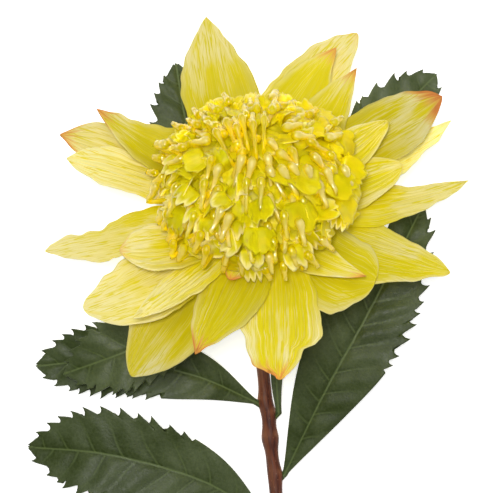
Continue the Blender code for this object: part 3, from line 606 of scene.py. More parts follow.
class Value:
    """A number that a material works out at each point of its surface."""

    def __init__(self, shader, socket):
        self.shader = shader
        self.socket = socket

    def math(self, operation, *others):
        return self.shader.node("Math", dict(enumerate((self, *others))), operation=operation)

    def __add__(self, other):
        return self.math("ADD", other)

    def __sub__(self, other):
        return self.math("SUBTRACT", other)

    def __mul__(self, other):
        return self.math("MULTIPLY", other)

    def __abs__(self):
        return self.math("ABSOLUTE")

    def kept(self):
        """The same sum, kept between 0 and 1."""
        self.socket.node.use_clamp = True
        return self

    def ease(self, low, high, to_low=0.0, to_high=1.0):
        """Goes smoothly from to_low to to_high as this value goes from low to high."""
        steps = dict(enumerate((self, low, high, to_low, to_high)))
        return self.shader.node("MapRange", steps, interpolation_type="SMOOTHSTEP")


class Shader:
    """A material's nodes. Its colour is painted in layers, each over what is there already."""

    def __init__(self, name, colour, roughness, **settings):
        self.material = bpy.data.materials.new(name)
        self.material.use_nodes = True
        self.tree = self.material.node_tree
        self.colour = (*colour, 1.0)
        self.surface = self.tree.nodes["Principled BSDF"]
        self.surface.subsurface_method = "BURLEY"
        self.surface.inputs["Subsurface Radius"].default_value = FLESH_RADIUS
        self.surface.inputs["Roughness"].default_value = roughness
        for socket, value in settings.items():
            self.surface.inputs[socket.replace("_", " ")].default_value = value

    def feed(self, socket, value):
        if isinstance(value, Value):
            self.tree.links.new(value.socket, socket)
        else:
            socket.default_value = value

    def node(self, kind, inputs, output=0, **settings):
        """Adds a node with these settings, feeds its inputs and returns one output."""
        node = self.tree.nodes.new("ShaderNode" + kind)
        for name, setting in settings.items():
            setattr(node, name, setting)
        for socket, value in inputs.items():
            self.feed(node.inputs[socket], value)
        return Value(self, node.outputs[output])

    def field(self, name):
        """The three numbers that the mesh carries under this name."""
        carried = self.node("Attribute", {}, "Vector", attribute_name=name)
        return [self.node("SeparateXYZ", {0: carried}, index) for index in range(3)]

    def noise(self, place, scale, detail=2.0, roughness=0.5):
        """place: three numbers that say where the surface lies in the noise."""
        vector = self.node("CombineXYZ", dict(enumerate(place)))
        inputs = {"Vector": vector, "Scale": scale, "Detail": detail, "Roughness": roughness}
        return self.node("TexNoise", inputs)

    def cells(self, place, scale, feature="F1"):
        vector = self.node("CombineXYZ", dict(enumerate(place)))
        return self.node("TexVoronoi", {"Vector": vector, "Scale": scale}, "Distance", feature=feature)

    def paint(self, share, colour):
        """Lays that share of a colour over what is painted so far."""
        layers = {0: share, 6: self.colour, 7: (*colour, 1.0)}
        self.colour = self.node("Mix", layers, 2, data_type="RGBA")

    # Paints light or shade by scaling the colour's brightness
    def painted_shade(self, brightness):
        self.colour = self.node("HueSaturation", {"Value": brightness, "Color": self.colour})

    def bump(self, height, strength, distance):
        """Relief from a height that runs from 0 to 1, distance millimetres deep."""
        relief = self.node("Bump", {"Strength": strength, "Distance": distance * MM, "Height": height})
        self.feed(self.surface.inputs["Normal"], relief)

    def painted_glow(self, strength):
        """A painted glow in the colour painted so far: emission that stands in for light coming through the
        flesh and lifts its shade.
        """
        self.feed(self.surface.inputs["Emission Color"], self.colour)
        self.feed(self.surface.inputs["Emission Strength"], strength)

    def finish(self, roughness=None):
        self.feed(self.surface.inputs["Base Color"], self.colour)
        if roughness is not None:
            self.feed(self.surface.inputs["Roughness"], roughness)
        return self.material


PETAL_DEEP = (0.76, 0.64, 0.003)
PETAL_YELLOW = (0.84, 0.70, 0.006)
PETAL_PALE = (0.91, 0.79, 0.23)
PETAL_CREAM = (0.95, 0.86, 0.44)
PETAL_FLECK = (0.79, 0.665, 0.003)
# The feet of the bracts: their own deep yellow, painted lighter to lift the shade the dome casts there
PETAL_FOOT_AND_PAINTED_LIGHT = (0.94, 0.80, 0.008)
PETAL_ORANGE = (0.84, 0.47, 0.09)
PETAL_RED = (0.78, 0.27, 0.06)
# The strength of the painted glow at the feet of the bracts: emission that lifts the shade the head casts
# there
PETAL_PAINTED_GLOW = 0.14


def petal_material():
    """Fields: place is millimetres along and across, and a number of its own. share is the share along, the
    share across and the bract's painted shade, a brightness that stands in for the light falling on it. look
    is how pale, how streaked and how red-tipped it is."""
    shader = Shader("bract_petal", PETAL_DEEP, 0.45, Subsurface_Weight=0.3, Subsurface_Scale=0.0006,
                    Specular_IOR_Level=0.12)
    along, across, own = shader.field("place")
    share, side, painted_shade = shader.field("share")
    pale, streaked, red = shader.field("look")
    edge = abs(side)

    def grain(lengthwise, crosswise, detail, number):
        return shader.noise((along * lengthwise, crosswise, own + number), 1.0, detail)

    clouds = grain(0.045, across * 0.11, 3.0, 0.0)
    bands = grain(0.022, side * 5.5, 2.0, 1.0)
    lines = grain(0.04, side * 36.0, 2.0, 2.0)
    flecks = grain(0.13, across * 1.7, 1.0, 3.0)
    paleness = pale + share.ease(0.3, 0.95, -0.40, 0.55)
    paleness = (paleness + clouds.ease(0.36, 0.64, -0.38, 0.38)).kept()
    paleness = (paleness + bands.ease(0.35, 0.65, -0.12, 0.12)).kept()
    shader.paint((paleness * 2.0).kept(), PETAL_YELLOW)
    shader.paint(paleness.ease(0.45, 1.0), PETAL_PALE)
    shader.paint(paleness.ease(0.8, 1.0) * share.ease(0.6, 0.95, 0.0, 0.6), PETAL_CREAM)
    strength = streaked.ease(0.0, 1.0, 0.35, 0.7)
    light_lines = lines.ease(0.52, 0.62) * strength
    shader.paint(light_lines * paleness.ease(0.0, 0.5, 0.25, 0.9), PETAL_CREAM)
    shader.paint(lines.ease(0.48, 0.38) * strength, PETAL_FLECK)
    shader.paint(flecks.ease(0.56, 0.63, 0.0, 0.9), PETAL_FLECK)
    # Painted light: the feet made brighter yellow to lift the shade near the dome
    shader.paint(share.ease(0.15, 0.5, 0.9, 0.0), PETAL_FOOT_AND_PAINTED_LIGHT)
    shader.paint(edge.ease(0.7, 1.0) * share.ease(0.4, 0.9, 0.0, 0.5), PETAL_CREAM)
    ragged = share + bands.ease(0.3, 0.7, -0.04, 0.04) + edge.ease(0.6, 1.0, -0.01, 0.01)
    ragged = ragged + red.ease(0.0, 1.5, -0.06, 0.06)
    shader.paint((ragged.ease(0.90, 0.98) * red).kept(), PETAL_ORANGE)
    shader.paint((ragged.ease(0.955, 1.01) * red).kept(), PETAL_RED)
    # Painted shade: each bract's brightness, and brighter towards its end, standing in for how the light
    # falls on it
    shader.painted_shade(painted_shade * share.ease(0.3, 1.0, 0.96, 1.08))
    shader.bump(lines + flecks * 0.3, 0.3, 0.25)
    # Painted glow: emission at the feet of the bracts that lifts the shade near the dome
    shader.painted_glow(share.ease(0.2, 0.6, PETAL_PAINTED_GLOW, 0.0))
    return shader.finish(lines.ease(0.35, 0.65, 0.4, 0.52))


LEAF_DARK = (0.037, 0.055, 0.011)
LEAF_LIGHT = (0.099, 0.128, 0.054)
LEAF_VEIN = (0.132, 0.180, 0.056)
LEAF_EDGE = (0.08, 0.10, 0.04)


def leaf_material():
    """Fields: place is millimetres along and across, and a number of its own. vein counts the side veins as
    they are passed, the share across and how light the leaf is."""
    shader = Shader("leaf_blade", LEAF_DARK, 0.5, Specular_IOR_Level=0.25)
    place = shader.field("place")
    count, side, light = shader.field("vein")
    edge = abs(side)
    from_vein = abs(count.math("FRACT") - 0.5)
    fine = shader.noise(place, 0.9, 3.0, 0.6)
    tone = (shader.noise(place, 0.07, 3.0).ease(0.3, 0.7, -0.3, 0.3) + light).kept()
    tone = (tone + fine.ease(0.3, 0.7, -0.12, 0.12)).kept()
    # Painted shade: darker along the creases beside the side veins, most towards the midrib
    painted_crease_shade = from_vein.ease(0.04, 0.22, 0.4, 0.0) * edge.ease(0.1, 0.7, 1.0, 0.0)
    shader.paint((tone - painted_crease_shade).kept(), LEAF_LIGHT)
    net = shader.cells(place, 0.55, "DISTANCE_TO_EDGE").ease(0.0, 0.12, 0.10, 0.0)
    side_vein = from_vein.ease(0.02, 0.06, 1.0, 0.0) * edge.ease(0.15, 0.85, 0.36, 0.06)
    midrib = abs(place[1]).ease(0.25, 0.65, 0.65, 0.0)
    for share in (net, side_vein, midrib):
        shader.paint(share, LEAF_VEIN)
    shader.paint(edge.ease(0.975, 1.0, 0.0, 0.3), LEAF_EDGE)
    shader.bump(net * -1.0 + fine, 0.5, 0.25)
    return shader.finish(fine.ease(0.3, 0.7, 0.38, 0.55))


STYLE_GOLD = (0.80, 0.65, 0.001)
STYLE_ORANGE = (0.82, 0.60, 0.001)
STYLE_FLESH = (0.93, 0.755, 0.19)
# The strength of the painted glow on the sides of a style: emission that lifts their shade
STYLE_PAINTED_GLOW = 0.13


def style_material():
    """Fields: style is millimetres from the bulb's end, a number of its own and how pale it is. place is in
    millimetres. look is how far it faces out of the dome. The bulb's cap is golden. Behind it the pale flesh
    is painted only where it faces out, its own colour and painted light that stands in for light seen through
    it, and the sides have a painted glow that lifts their shade."""
    shader = Shader("style_flesh", STYLE_ORANGE, 0.3, Subsurface_Weight=0.9, Subsurface_Scale=0.0035,
                    Specular_IOR_Level=0.2, Coat_Weight=0.9, Coat_Roughness=0.06, Coat_IOR=1.8)
    below, own, pale = shader.field("style")
    facing, _, _ = shader.field("look")
    ripple = shader.noise(shader.field("place"), 0.8)
    shader.paint(own, STYLE_GOLD)
    # Painted glow: emission on the sides of a style that lifts their shade
    shader.painted_glow(facing.ease(0.75, 0.0, 0.0, STYLE_PAINTED_GLOW))
    cap = pale.ease(0.0, 0.9, 3.2, 0.6)
    # The pale flesh is the style's own colour, but it is painted only on the side facing out of the dome:
    # painted light standing in for light seen through it
    flesh_and_painted_light = below.ease(cap, cap + 1.6) * facing.ease(0.40, 0.95, 0.0, 0.95) * below.ease(15.0, 10.0)
    flesh_and_painted_light = flesh_and_painted_light * pale.ease(0.0, 0.9, 0.5, 1.0) * ripple.ease(0.65, 0.4, 0.75, 1.0)
    shader.paint(flesh_and_painted_light, STYLE_FLESH)
    shader.bump(ripple, 0.3, 0.2)
    return shader.finish(ripple.ease(0.3, 0.7, 0.2, 0.34))


SEGMENT_GREEN = (0.67, 0.595, 0.002)
SEGMENT_YELLOW = (0.80, 0.655, 0.002)
SEGMENT_GOLD = (0.80, 0.635, 0.002)
SEGMENT_TIP = (0.92, 0.82, 0.34)


def segment_material():
    """Fields: style is the share of its length, the share across and a number of its own. place is in
    millimetres. look is the millimetres left to its toothed end, how pale that is and how golden it is."""
    shader = Shader("perianth_flesh", SEGMENT_GREEN, 0.4, Subsurface_Weight=0.9, Subsurface_Scale=0.0035,
                    Specular_IOR_Level=0.2)
    share, side, own = shader.field("style")
    to_end, pale, golden = shader.field("look")
    cloud = shader.noise(shader.field("place"), 0.16, 3.0)
    threads = shader.noise((share * 1.5, side * 7.0, own), 1.0)
    shader.paint((golden + cloud.ease(0.3, 0.7, -0.3, 0.3)).kept(), SEGMENT_YELLOW)
    shader.paint(cloud.ease(0.55, 0.75, 0.0, 0.6), SEGMENT_GOLD)
    to_end = to_end + threads.ease(0.3, 0.7, -0.5, 0.5)
    tip = to_end.ease(pale.ease(0.0, 1.5, 0.5, 6.5), 0.3) * pale.ease(0.1, 0.9, 0.0, 0.85)
    shader.paint(tip, SEGMENT_TIP)
    shader.bump(threads, 0.4, 0.25)
    return shader.finish(cloud.ease(0.3, 0.7, 0.3, 0.45))


CORE_OLIVE = (0.72, 0.62, 0.003)
CORE_YELLOW = (0.92, 0.78, 0.003)


def core_material():
    """Field: place is in millimetres."""
    shader = Shader("dome_core_flesh", CORE_OLIVE, 0.5, Subsurface_Weight=0.5, Subsurface_Scale=0.002)
    place = shader.field("place")
    shader.paint(shader.noise(place, 0.22, 3.0).ease(0.35, 0.65), CORE_YELLOW)
    shader.bump(shader.cells(place, 0.4), 0.8, 0.8)
    return shader.finish()


BARK_DARK = (0.06, 0.014, 0.009)
BARK_BROWN = (0.175, 0.043, 0.015)
BARK_LIGHT = (0.30, 0.12, 0.06)
BARK_GREEN = (0.13, 0.15, 0.045)
BARK_CUT = (0.50, 0.45, 0.25)
# The radius of the ring in the noise that the bark is wrapped round
BARK_ROUND = 2.6


def bark_material():
    """Fields: place is the turn round the stalk and millimetres along it. bark is how green, how scarred and
    how freshly cut it is."""
    shader = Shader("stem_skin", BARK_DARK, 0.5, Specular_IOR_Level=0.3)
    turn, along, _ = shader.field("place")
    green, scar, cut = shader.field("bark")
    aside, ahead = turn.math("SINE") * BARK_ROUND, turn.math("COSINE") * BARK_ROUND
    streaks = shader.noise((aside, along * 0.12, ahead), 1.1, 4.0, 0.65)
    blotches = shader.noise((aside, along * 0.12, ahead), 0.35)
    dots = shader.cells((aside, along * 0.6, ahead), 0.7)
    shader.paint(streaks.ease(0.35, 0.65), BARK_BROWN)
    shader.paint(blotches.ease(0.45, 0.7, 0.0, 0.5), BARK_LIGHT)
    shader.paint(dots.ease(0.08, 0.16, 0.7, 0.0), BARK_LIGHT)
    for share, colour in ((green, BARK_GREEN), (scar, BARK_LIGHT), (cut, BARK_CUT)):
        shader.paint(share, colour)
    shader.bump(streaks - dots * 0.3, 0.8, 0.35)
    return shader.finish(streaks.ease(0.3, 0.7, 0.42, 0.62))


# Bracts


def sheet_height(u, v, level):
    """The height of a bract's sheet: flat under the dome, then rising towards the table's side and falling
    on the other, and spreading from its neighbours."""
    radius = hypot(u, v)
    past = radius - SHEET_EDGE
    beyond = (past + hypot(past, SHEET_SOFTNESS)) / 2
    slope = SHEET_SLOPE + SHEET_LIFT * v / radius + SHEET_SPREAD * level
    return SHEET_START + SHEET_STEP * level + slope * beyond


def bract_spine(bract):
    root = polar(BRACT_ROOT_RADIUS, bract.root)
    bend = polar(BRACT_BEND * bract.reach, bract.root)
    tip = polar(bract.reach, bract.azimuth)
    length = (bend - root).length + (tip - bend).length

    def at(s):
        point = root * (1 - s) ** 2 + bend * 2 * s * (1 - s) + tip * s ** 2
        heading = ((bend - root) * (1 - s) + (tip - bend) * s).normalized()
        return point, Vector((-heading.y, heading.x))

    return at, length


def buckling(along, across, own):
    return sum(height * noise.noise(Vector((along / length, across / width, own)))
               for height, length, width in BUCKLES)


def make_bract(number, bract, phase, material):
    own = number * BRACT_OWN
    at, length = bract_spine(bract)
    trims = MARGINS.get(number, (PLAIN_MARGIN, PLAIN_MARGIN))
    # The bract's painted shade, a brightness standing in for the light that falls on it
    painted_shade = PAINTED_SHADES.get(number, 1.0)
    rows = []
    for t in shares(BRACT_ROWS):
        s = 1.0 - (1.0 - t) ** BRACT_CROWDING
        spine, left = at(s)
        half = half_width(bract, s, BRACT_ROOT_HALF_WIDTH, BRACT_SHOULDER)
        free = smooth_step((s - BRACT_FREE_FROM) / (BRACT_FREE_BY - BRACT_FREE_FROM))
        tip = bract.curl * max(0.0, (s - CURL_FROM) / (1.0 - CURL_FROM)) ** 2
        reaches = []
        for side, trim in zip((1, -1), trims):
            rag = noise.noise(Vector((s * length / RAGGED_LENGTH, own + side, 0.0)))
            rag *= RAGGED_EDGE * free * min(1.0, half / RAGGED_HALF)
            steps = [(share / 100, out / 10) for share, out in trim]
            reaches.append(max(half + between(steps, s) + rag, BRACT_NARROWEST))
        row = []
        for a in spread(BRACT_COLUMNS):
            y = a * (reaches[0] if a > 0 else reaches[1])
            plan = spine + left * y
            across = y / (bract.width / 2)
            wave = bract.ripple * sin(2 * pi * RIPPLES * s + phase + across)
            margins = (bract.cup + wave) * across ** 2
            flute = sin(FLUTES * pi * a + phase) * smooth_step(FLUTE_FADE * (1.0 - abs(a)))
            flute *= FLUTE_DEPTH * bract.flutes * min(1.0, half / FLUTED_HALF)
            height = sheet_height(*plan, bract.level) + tip
            height += free * (margins + flute + buckling(s * length, y, own))
            row.append((head_point(*plan, height), (s * length, y, own), (s, a, painted_shade),
                        (bract.pale, bract.flutes, bract.red)))
        rows.append(row)
    sheets = Sheets("place", "share", "look")
    sheets.add(rows)
    piece = sheets.build(f"bract_{number:02d}_petal", material, BRACT_THICKNESS)
    dress(piece, f"bract_{number:02d}")


# Leaves


def leaf_outline(leaf, length):
    """The plain outline of one side: distances along it, and points of millimetres along and across."""
    points = []
    for share in shares(OUTLINE_STEPS + 1):
        s = 1.0 - (1.0 - share) ** 2
        half = half_width(leaf, s, PETIOLE_HALF_WIDTH, LEAF_SHOULDER, leaf.bare)
        points.append(Vector((s * length, half)))
    return distances_along(points), points


def margin_stations(leaf, length, chance):
    """The rows' ends along one margin: the plain outline's point, and the point where the toothed margin
    really lies. The teeth are of uneven size, hollow on both sides, and point forwards."""
    distances, points = leaf_outline(leaf, length)
    start = next(d for d, point in zip(distances, points) if point.x >= leaf.toothed * length)
    teeth = leaf.teeth + EXTRA_TEETH
    pitch = (distances[-1] - start) / teeth
    ends = [start + pitch * (k + chance.uniform(-PITCH_STRAY, PITCH_STRAY)) for k in range(1, teeth)]
    ends = [start, *ends, distances[-1]]

    def at(distance):
        index = max(min(bisect.bisect_left(distances, distance), len(points) - 1), 1)
        part = (distance - distances[index - 1]) / max(distances[index] - distances[index - 1], 1e-9)
        ahead = (points[index] - points[index - 1]).normalized()
        return points[index - 1].lerp(points[index], part), ahead

    rows = []
    for k in range(PLAIN_ROWS):
        point, _ = at(start * k / (PLAIN_ROWS - 1))
        rows.append((point, point))
    for low, high in zip(ends, ends[1:]):
        size = (high - low) / pitch
        depth = TOOTH_DEPTH * leaf.width * size * chance.uniform(*TOOTH_DEPTHS)
        for part in TOOTH_ROWS:
            point, ahead = at(low + (high - low) * part)
            if part < TOOTH_POINT:
                rise = (part / TOOTH_POINT) ** TOOTH_BACK
            else:
                rise = ((1.0 - part) / (1.0 - TOOTH_POINT)) ** TOOTH_FRONT
            inwards = Vector((ahead.y, -ahead.x))
            lean = TOOTH_LEAN * (high - low) * rise ** 2
            rows.append((point, point + inwards * (depth * (TOOTH_INSIDE - rise)) + ahead * lean))
    return rows


def stalk_middle_near(point):
    at, total = stalk_line()
    middles = (at(total * k / STALK_SAMPLES)[0] for k in range(STALK_SAMPLES + 1))
    return min(middles, key=lambda middle: (middle - point).length)


def leaf_relief(leaf, s, a, y, flat, plain, rib, phase, own):
    """How far the blade rises at a place, and how many side veins are passed there."""
    across = y / (leaf.width / 2)
    wave = leaf.ripple * sin(2 * pi * RIPPLES * s + phase + across) * across ** 2
    wobble = noise.noise(Vector((s * VEIN_PACE, a, own))) * VEIN_WAVES
    count = rib / SIDE_VEIN_PITCH + wobble + (VEIN_SHIFT if a > 0 else 0.0)
    pucker = -VEIN_PUCKER * cos(2 * pi * (count - 0.5)) * smooth_step(flat.y / PUCKER_FROM)
    pucker *= smooth_step((1.0 - abs(a)) * PUCKER_FADE) * min(1.0, plain.y / PUCKERED_HALF)
    groove = -RIB_GROOVE * exp(-(y / GROOVE_HALF) ** 2) * min(1.0, plain.y / GROOVED_HALF)
    fold = tan(radians(leaf.fold))
    return fold * abs(y) + wave + pucker + groove, count


def make_leaf(number, leaf, phase, material):
    own = number * LEAF_OWN
    points = [Vector(point) for point in leaf.points]
    length = distances_along(points)[-1]
    chance = random.Random(number)
    lefts = margin_stations(leaf, length, chance)
    rights = margin_stations(leaf, length, chance)
    rows = []
    for left_row, right_row in zip(lefts, rights):
        plain_end = (left_row[0] + right_row[0]) / 2
        rib = max(plain_end.x - SIDE_VEIN_SLANT * (plain_end.y - PETIOLE_HALF_WIDTH), 0.0)
        row = []
        for a in spread(LEAF_COLUMNS):
            plain, real = left_row if a > 0 else right_row
            flat = Vector((rib, 0.0)).lerp(plain, min(abs(a), MARGIN_FROM))
            if abs(a) > MARGIN_FROM:
                flat = flat.lerp(real, (abs(a) - MARGIN_FROM) / (1.0 - MARGIN_FROM))
            s = flat.x / length
            y = copysign(flat.y, a)
            point, heading = route(points, s)
            left = Vector((-heading.y, heading.x, 0.0)).normalized()
            up = heading.cross(left)
            rise, count = leaf_relief(leaf, s, a, y, flat, plain, rib, phase, own)
            row.append((point + left * y + up * rise, (flat.x, y, own), (count, a, leaf.light)))
        rows.append(row)
    foot = stalk_middle_near(points[0] + FOOT_DROP) - points[0]
    feet = []
    for k in range(FOOT_ROWS):
        back = foot * (1.0 - k / FOOT_ROWS)
        row = [(place + back, (flat[0] - back.length, *flat[1:]), vein) for place, flat, vein in rows[0]]
        feet.append(row)
    sheets = Sheets("place", "vein")
    sheets.add(feet + rows)
    piece = sheets.build(f"leaf_{number:02d}_blade", material, LEAF_THICKNESS)
    dress(piece, f"leaf_{number:02d}")


# The stalk


def stalk_line():
    """The stalk's middle from its cut end to the receptacle, with its radius at each point."""
    bend_start = head_point(0.0, 0.0, NECK_BASE)
    turn = pi / 2 - HEAD_TILT
    bend = (bend_start.z - STALK_RADIUS) / (1.0 - cos(turn))
    flat_from = bend_start.y - bend * sin(turn)
    neck = bend * turn
    straight = flat_from - STALK_CUT_END
    top = head_point(0.0, 0.0, NECK_JOIN)

    def at(distance):
        radius = STALK_RADIUS
        if distance < straight:
            share = 1.0 - distance / straight
            radius = STALK_RADIUS * (1.0 + STALK_TAPER * share)
            y = STALK_CUT_END + distance
            z = radius + STALK_BOW * sin(pi * share) ** 2
        elif distance < straight + neck:
            angle = (distance - straight) / bend
            y = flat_from + bend * sin(angle)
            z = STALK_RADIUS + bend * (1.0 - cos(angle))
        else:
            share = (distance - straight - neck) / (NECK_JOIN - NECK_BASE)
            y, z = bend_start.lerp(top, share).yz
        x = STALK_SIDE * smooth_step((bend_start.y - y) / (bend_start.y - flat_from))
        return Vector((x, y, z)), radius

    return at, straight + neck + (NECK_JOIN - NECK_BASE)


def relief_round(turn, along, height, pace, length):
    return height * noise.noise(Vector((cos(turn) * pace, sin(turn) * pace, along / length)))


def stalk_rows():
    at, total = stalk_line()
    nodes = [(leaf.points[0][1], copysign(1, leaf.points[1][0] - STALK_SIDE)) for leaf in LEAVES]
    nodes += [(y, 1 if index % 2 else -1) for index, y in enumerate(LEAF_SCARS)]
    nodes += [(y, way) for y in RING_SCARS for way in (1, -1)]
    for i in range(STALK_ROWS):
        distance = total * i / (STALK_ROWS - 1)
        middle, radius = at(distance)
        ahead, _ = at(min(distance + 1.0, total))
        behind, _ = at(max(distance - 1.0, 0.0))
        heading = (ahead - behind).normalized()
        side = Vector((heading.y, -heading.x, 0.0)).normalized()
        up = side.cross(heading)
        green = smooth_step((distance - total + GREEN_LENGTH) / GREEN_LENGTH) * TOP_GREEN
        row = []
        for turn in ring(STALK_SIDES):
            scarred = 0.0
            swell = 0.0
            for y, way in nodes:
                near = exp(-((middle.y - y) / NODE_LENGTH) ** 2)
                facing = max(0.0, NODE_ROUND + (1.0 - NODE_ROUND) * cos(turn) * way)
                swell += NODE_RISE * near * facing
                scar = exp(-((middle.y - y - SCAR_ABOVE) / SCAR_LENGTH) ** 2) * facing ** 3
                scarred = max(scarred, scar)
            reach = radius + swell + relief_round(turn, distance, *BARK_RIDGES)
            point = middle + side * (cos(turn) * reach) + up * (sin(turn) * reach)
            point.z = max(point.z, 0.0)
            end_y = STALK_CUT_END + CUT_BACK + (point.z - radius) * tan(CUT_SLANT)
            cut = 1.0 if point.y < end_y + 0.01 else 0.0
            point.y = max(point.y, end_y)
            row.append((point, (turn, distance, 0.0), (green, scarred, cut)))
        yield row


def receptacle_rows():
    for share in shares(RECEPTACLE_ROWS):
        place = share * (len(RECEPTACLE) - 1)
        index = min(int(place), len(RECEPTACLE) - 2)
        low, high = RECEPTACLE[index], RECEPTACLE[index + 1]
        radius, height = (a + (b - a) * (place - index) for a, b in zip(low, high))
        row = []
        for turn in ring(RECEPTACLE_SIDES):
            reach = radius * (1.0 + relief_round(turn, height, *RECEPTACLE_LUMPS))
            point = head_point(reach * cos(turn), reach * sin(turn), height)
            row.append((point, (turn, height, 0.0), (RECEPTACLE_GREEN, 0.0, 0.0)))
        yield row


def make_stem(material):
    sheets = Sheets("place", "bark")
    sheets.add(list(stalk_rows()), tube=True)
    sheets.add(list(receptacle_rows()), tube=True)
    piece = sheets.build("stem_skin", material)
    dress(piece, "stem")


# The dome


def dome_point(angle, turn, share):
    """A point inside the dome by its polar angle and turn in degrees, and its share of the way out."""
    radius = DOME_RADIUS * share * sine(angle)
    return head_point(radius * cosine(turn), radius * sine(turn), DOME_HEIGHT * share * cosine(angle))


def dome_normal(angle, turn):
    """The direction straight out of the dome at a place given by its polar angle and turn in degrees."""
    out = polar(sine(angle) / DOME_RADIUS, turn)
    up = cosine(angle) / DOME_HEIGHT
    return (HEAD_RIGHT * out.x + HEAD_TOP * out.y + HEAD_AXIS * up).normalized()


def spiral(count, first, last):
    """Polar angles and turns in degrees, spread evenly over the dome between two cosines of the angle."""
    for index in range(count):
        share = (index + 0.5) / count
        yield degrees(acos(first + (last - first) * share)), degrees(index * GOLDEN_ANGLE)


def stands_clear(here, others, apart):
    return all((here - other).length > apart for other in others)


def style_points(angle, turn, out, sideways):
    """The way of a style from its root on the core, round its belly and up to its nodding bulb."""
    end = dome_point(angle, turn, out)
    outward = HEAD_RIGHT * cosine(turn) + HEAD_TOP * sine(turn)
    aside = HEAD_TOP * cosine(turn) - HEAD_RIGHT * sine(turn)
    rim = angle / 90.0
    hanging = smooth_step((HEAD_TOP.dot(end - HEAD_CENTRE) - HANG_FROM) / (HANG_FULL - HANG_FROM))
    lean = STYLE_LEAN_POLE + (STYLE_LEAN_RIM - STYLE_LEAN_POLE) * rim
    lean = radians(lean + (STYLE_LEAN_TOP - lean) * hanging)
    droop = radians(STYLE_DROOP) * (1.0 - hanging) * (1.0 - rim ** 2)
    down = outward * sin(lean) - HEAD_AXIS * cos(lean + droop) - HEAD_TOP * sin(droop)
    down = (down + aside * sine(sideways)).normalized()
    reach = STYLE_REACH * (1.0 - (1.0 - STYLE_RIM_SHARE) * rim) * (1.0 - STYLE_TOP_SHORTER * hanging)
    root = dome_point(angle + STYLE_ROOT_AWAY, turn, STYLE_ROOT_SHARE)
    return [root, end + down * reach, end + down * (reach / 2), end + down * (reach / 5),
            end - outward * STYLE_NOD]


def tall_style_points(u, v):
    """The way of a style that lies over the others, from its root in the middle up to its bulb."""
    foot_u, foot_v = u * (1.0 - TALL_SPREAD), v - TALL_LENGTH
    ways = ((foot_u, foot_v), (foot_u, foot_v), ((u + foot_u) / 2, (v + foot_v) / 2), (u, v))
    points = []
    for (across, up), rise in zip(ways, TALL_RISE):
        height = sqrt(1.0 - (across ** 2 + up ** 2) / DOME_RADIUS ** 2)
        points.append(head_point(across * rise, up * rise, DOME_HEIGHT * height * rise))
    return points


def add_style(sheets, points, outward, size, own, pale):
    """One style: a round tube along the points, thin at first and swelling to its bulb at the end."""
    lengths = distances_along([route(points, k / STYLE_SAMPLES)[0] for k in range(STYLE_SAMPLES + 1)])
    total = lengths[-1]
    side = route(points, 0.0)[1].orthogonal().normalized()
    rows = []
    for row_share in shares(STYLE_ROWS):
        below = total * (1.0 - row_share) ** STYLE_CROWDING
        index = next(k for k, length in enumerate(lengths) if length >= total - below - 1e-6)
        share = index / STYLE_SAMPLES
        if index:
            over = (lengths[index] - (total - below)) / (lengths[index] - lengths[index - 1])
            share -= over / STYLE_SAMPLES
        point, heading = route(points, share)
        side = (side - heading * side.dot(heading)).normalized()
        other = heading.cross(side)
        radius = between(STYLE_RADIUS, below / size) * size
        row = []
        for turn in ring(STYLE_SIDES):
            round_it = side * cos(turn) + other * sin(turn)
            place = point + round_it * radius
            facing = (round_it + heading * max(1.0 - below / BULB_CAP, 0.0)).normalized().dot(outward)
            row.append((place, (below, own, pale), tuple(place), (facing, 0.0, 0.0)))
        rows.append(row)
    sheets.add(rows, tube=True)


def make_styles(chance, material):
    sheets = Sheets("style", "place", "look")
    places = [(angle, turn, pale, 1.0) for angle, turn, pale in SHOWN_STYLES]
    taken = [dome_point(angle, turn, 1.0) for angle, turn, _ in SHOWN_STYLES]
    angle_stray, turn_stray = FILL_STRAY
    for angle, turn in spiral(FILL_STYLES, *map(cosine, FILL_ANGLES)):
        angle += chance.uniform(-angle_stray, angle_stray)
        turn += chance.uniform(-turn_stray, turn_stray)
        here = dome_point(angle, turn, 1.0)
        bare = any(angle > least and cosine(turn - middle) > cosine(within)
                   for middle, (least, within) in ((0.0, BARE_RIGHT), (90.0, BARE_TOP)))
        if not bare and stands_clear(here, taken, STYLE_APART):
            taken.append(here)
            places.append((angle, turn, chance.random() ** 2 * FILL_PALE, chance.uniform(*FILL_OUT)))
    for angle, turn, pale, out in places:
        out *= 1.0 + chance.uniform(*OUT_STRAY)
        points = style_points(angle, turn, out, chance.gauss(0.0, SIDEWAYS))
        outward = (dome_normal(angle, turn) + Vector((0.0, 0.0, 1.0))).normalized()
        size = chance.uniform(*STYLE_SIZES) + PALE_THICKER * pale
        add_style(sheets, points, outward, size, chance.random(), pale)
    outward = (HEAD_AXIS + HEAD_TOP).normalized()
    for u, v in TALL_STYLES:
        size = chance.uniform(*TALL_SIZES)
        add_style(sheets, tall_style_points(u, v), outward, size, chance.random(), TALL_PALE)
    piece = sheets.build("styles", material)
    dress(piece, "floret_head")


def turned(first, second, degrees):
    """Two directions at right angles, turned from the first towards the second."""
    return first * cosine(degrees) + second * sine(degrees), second * cosine(degrees) - first * sine(degrees)


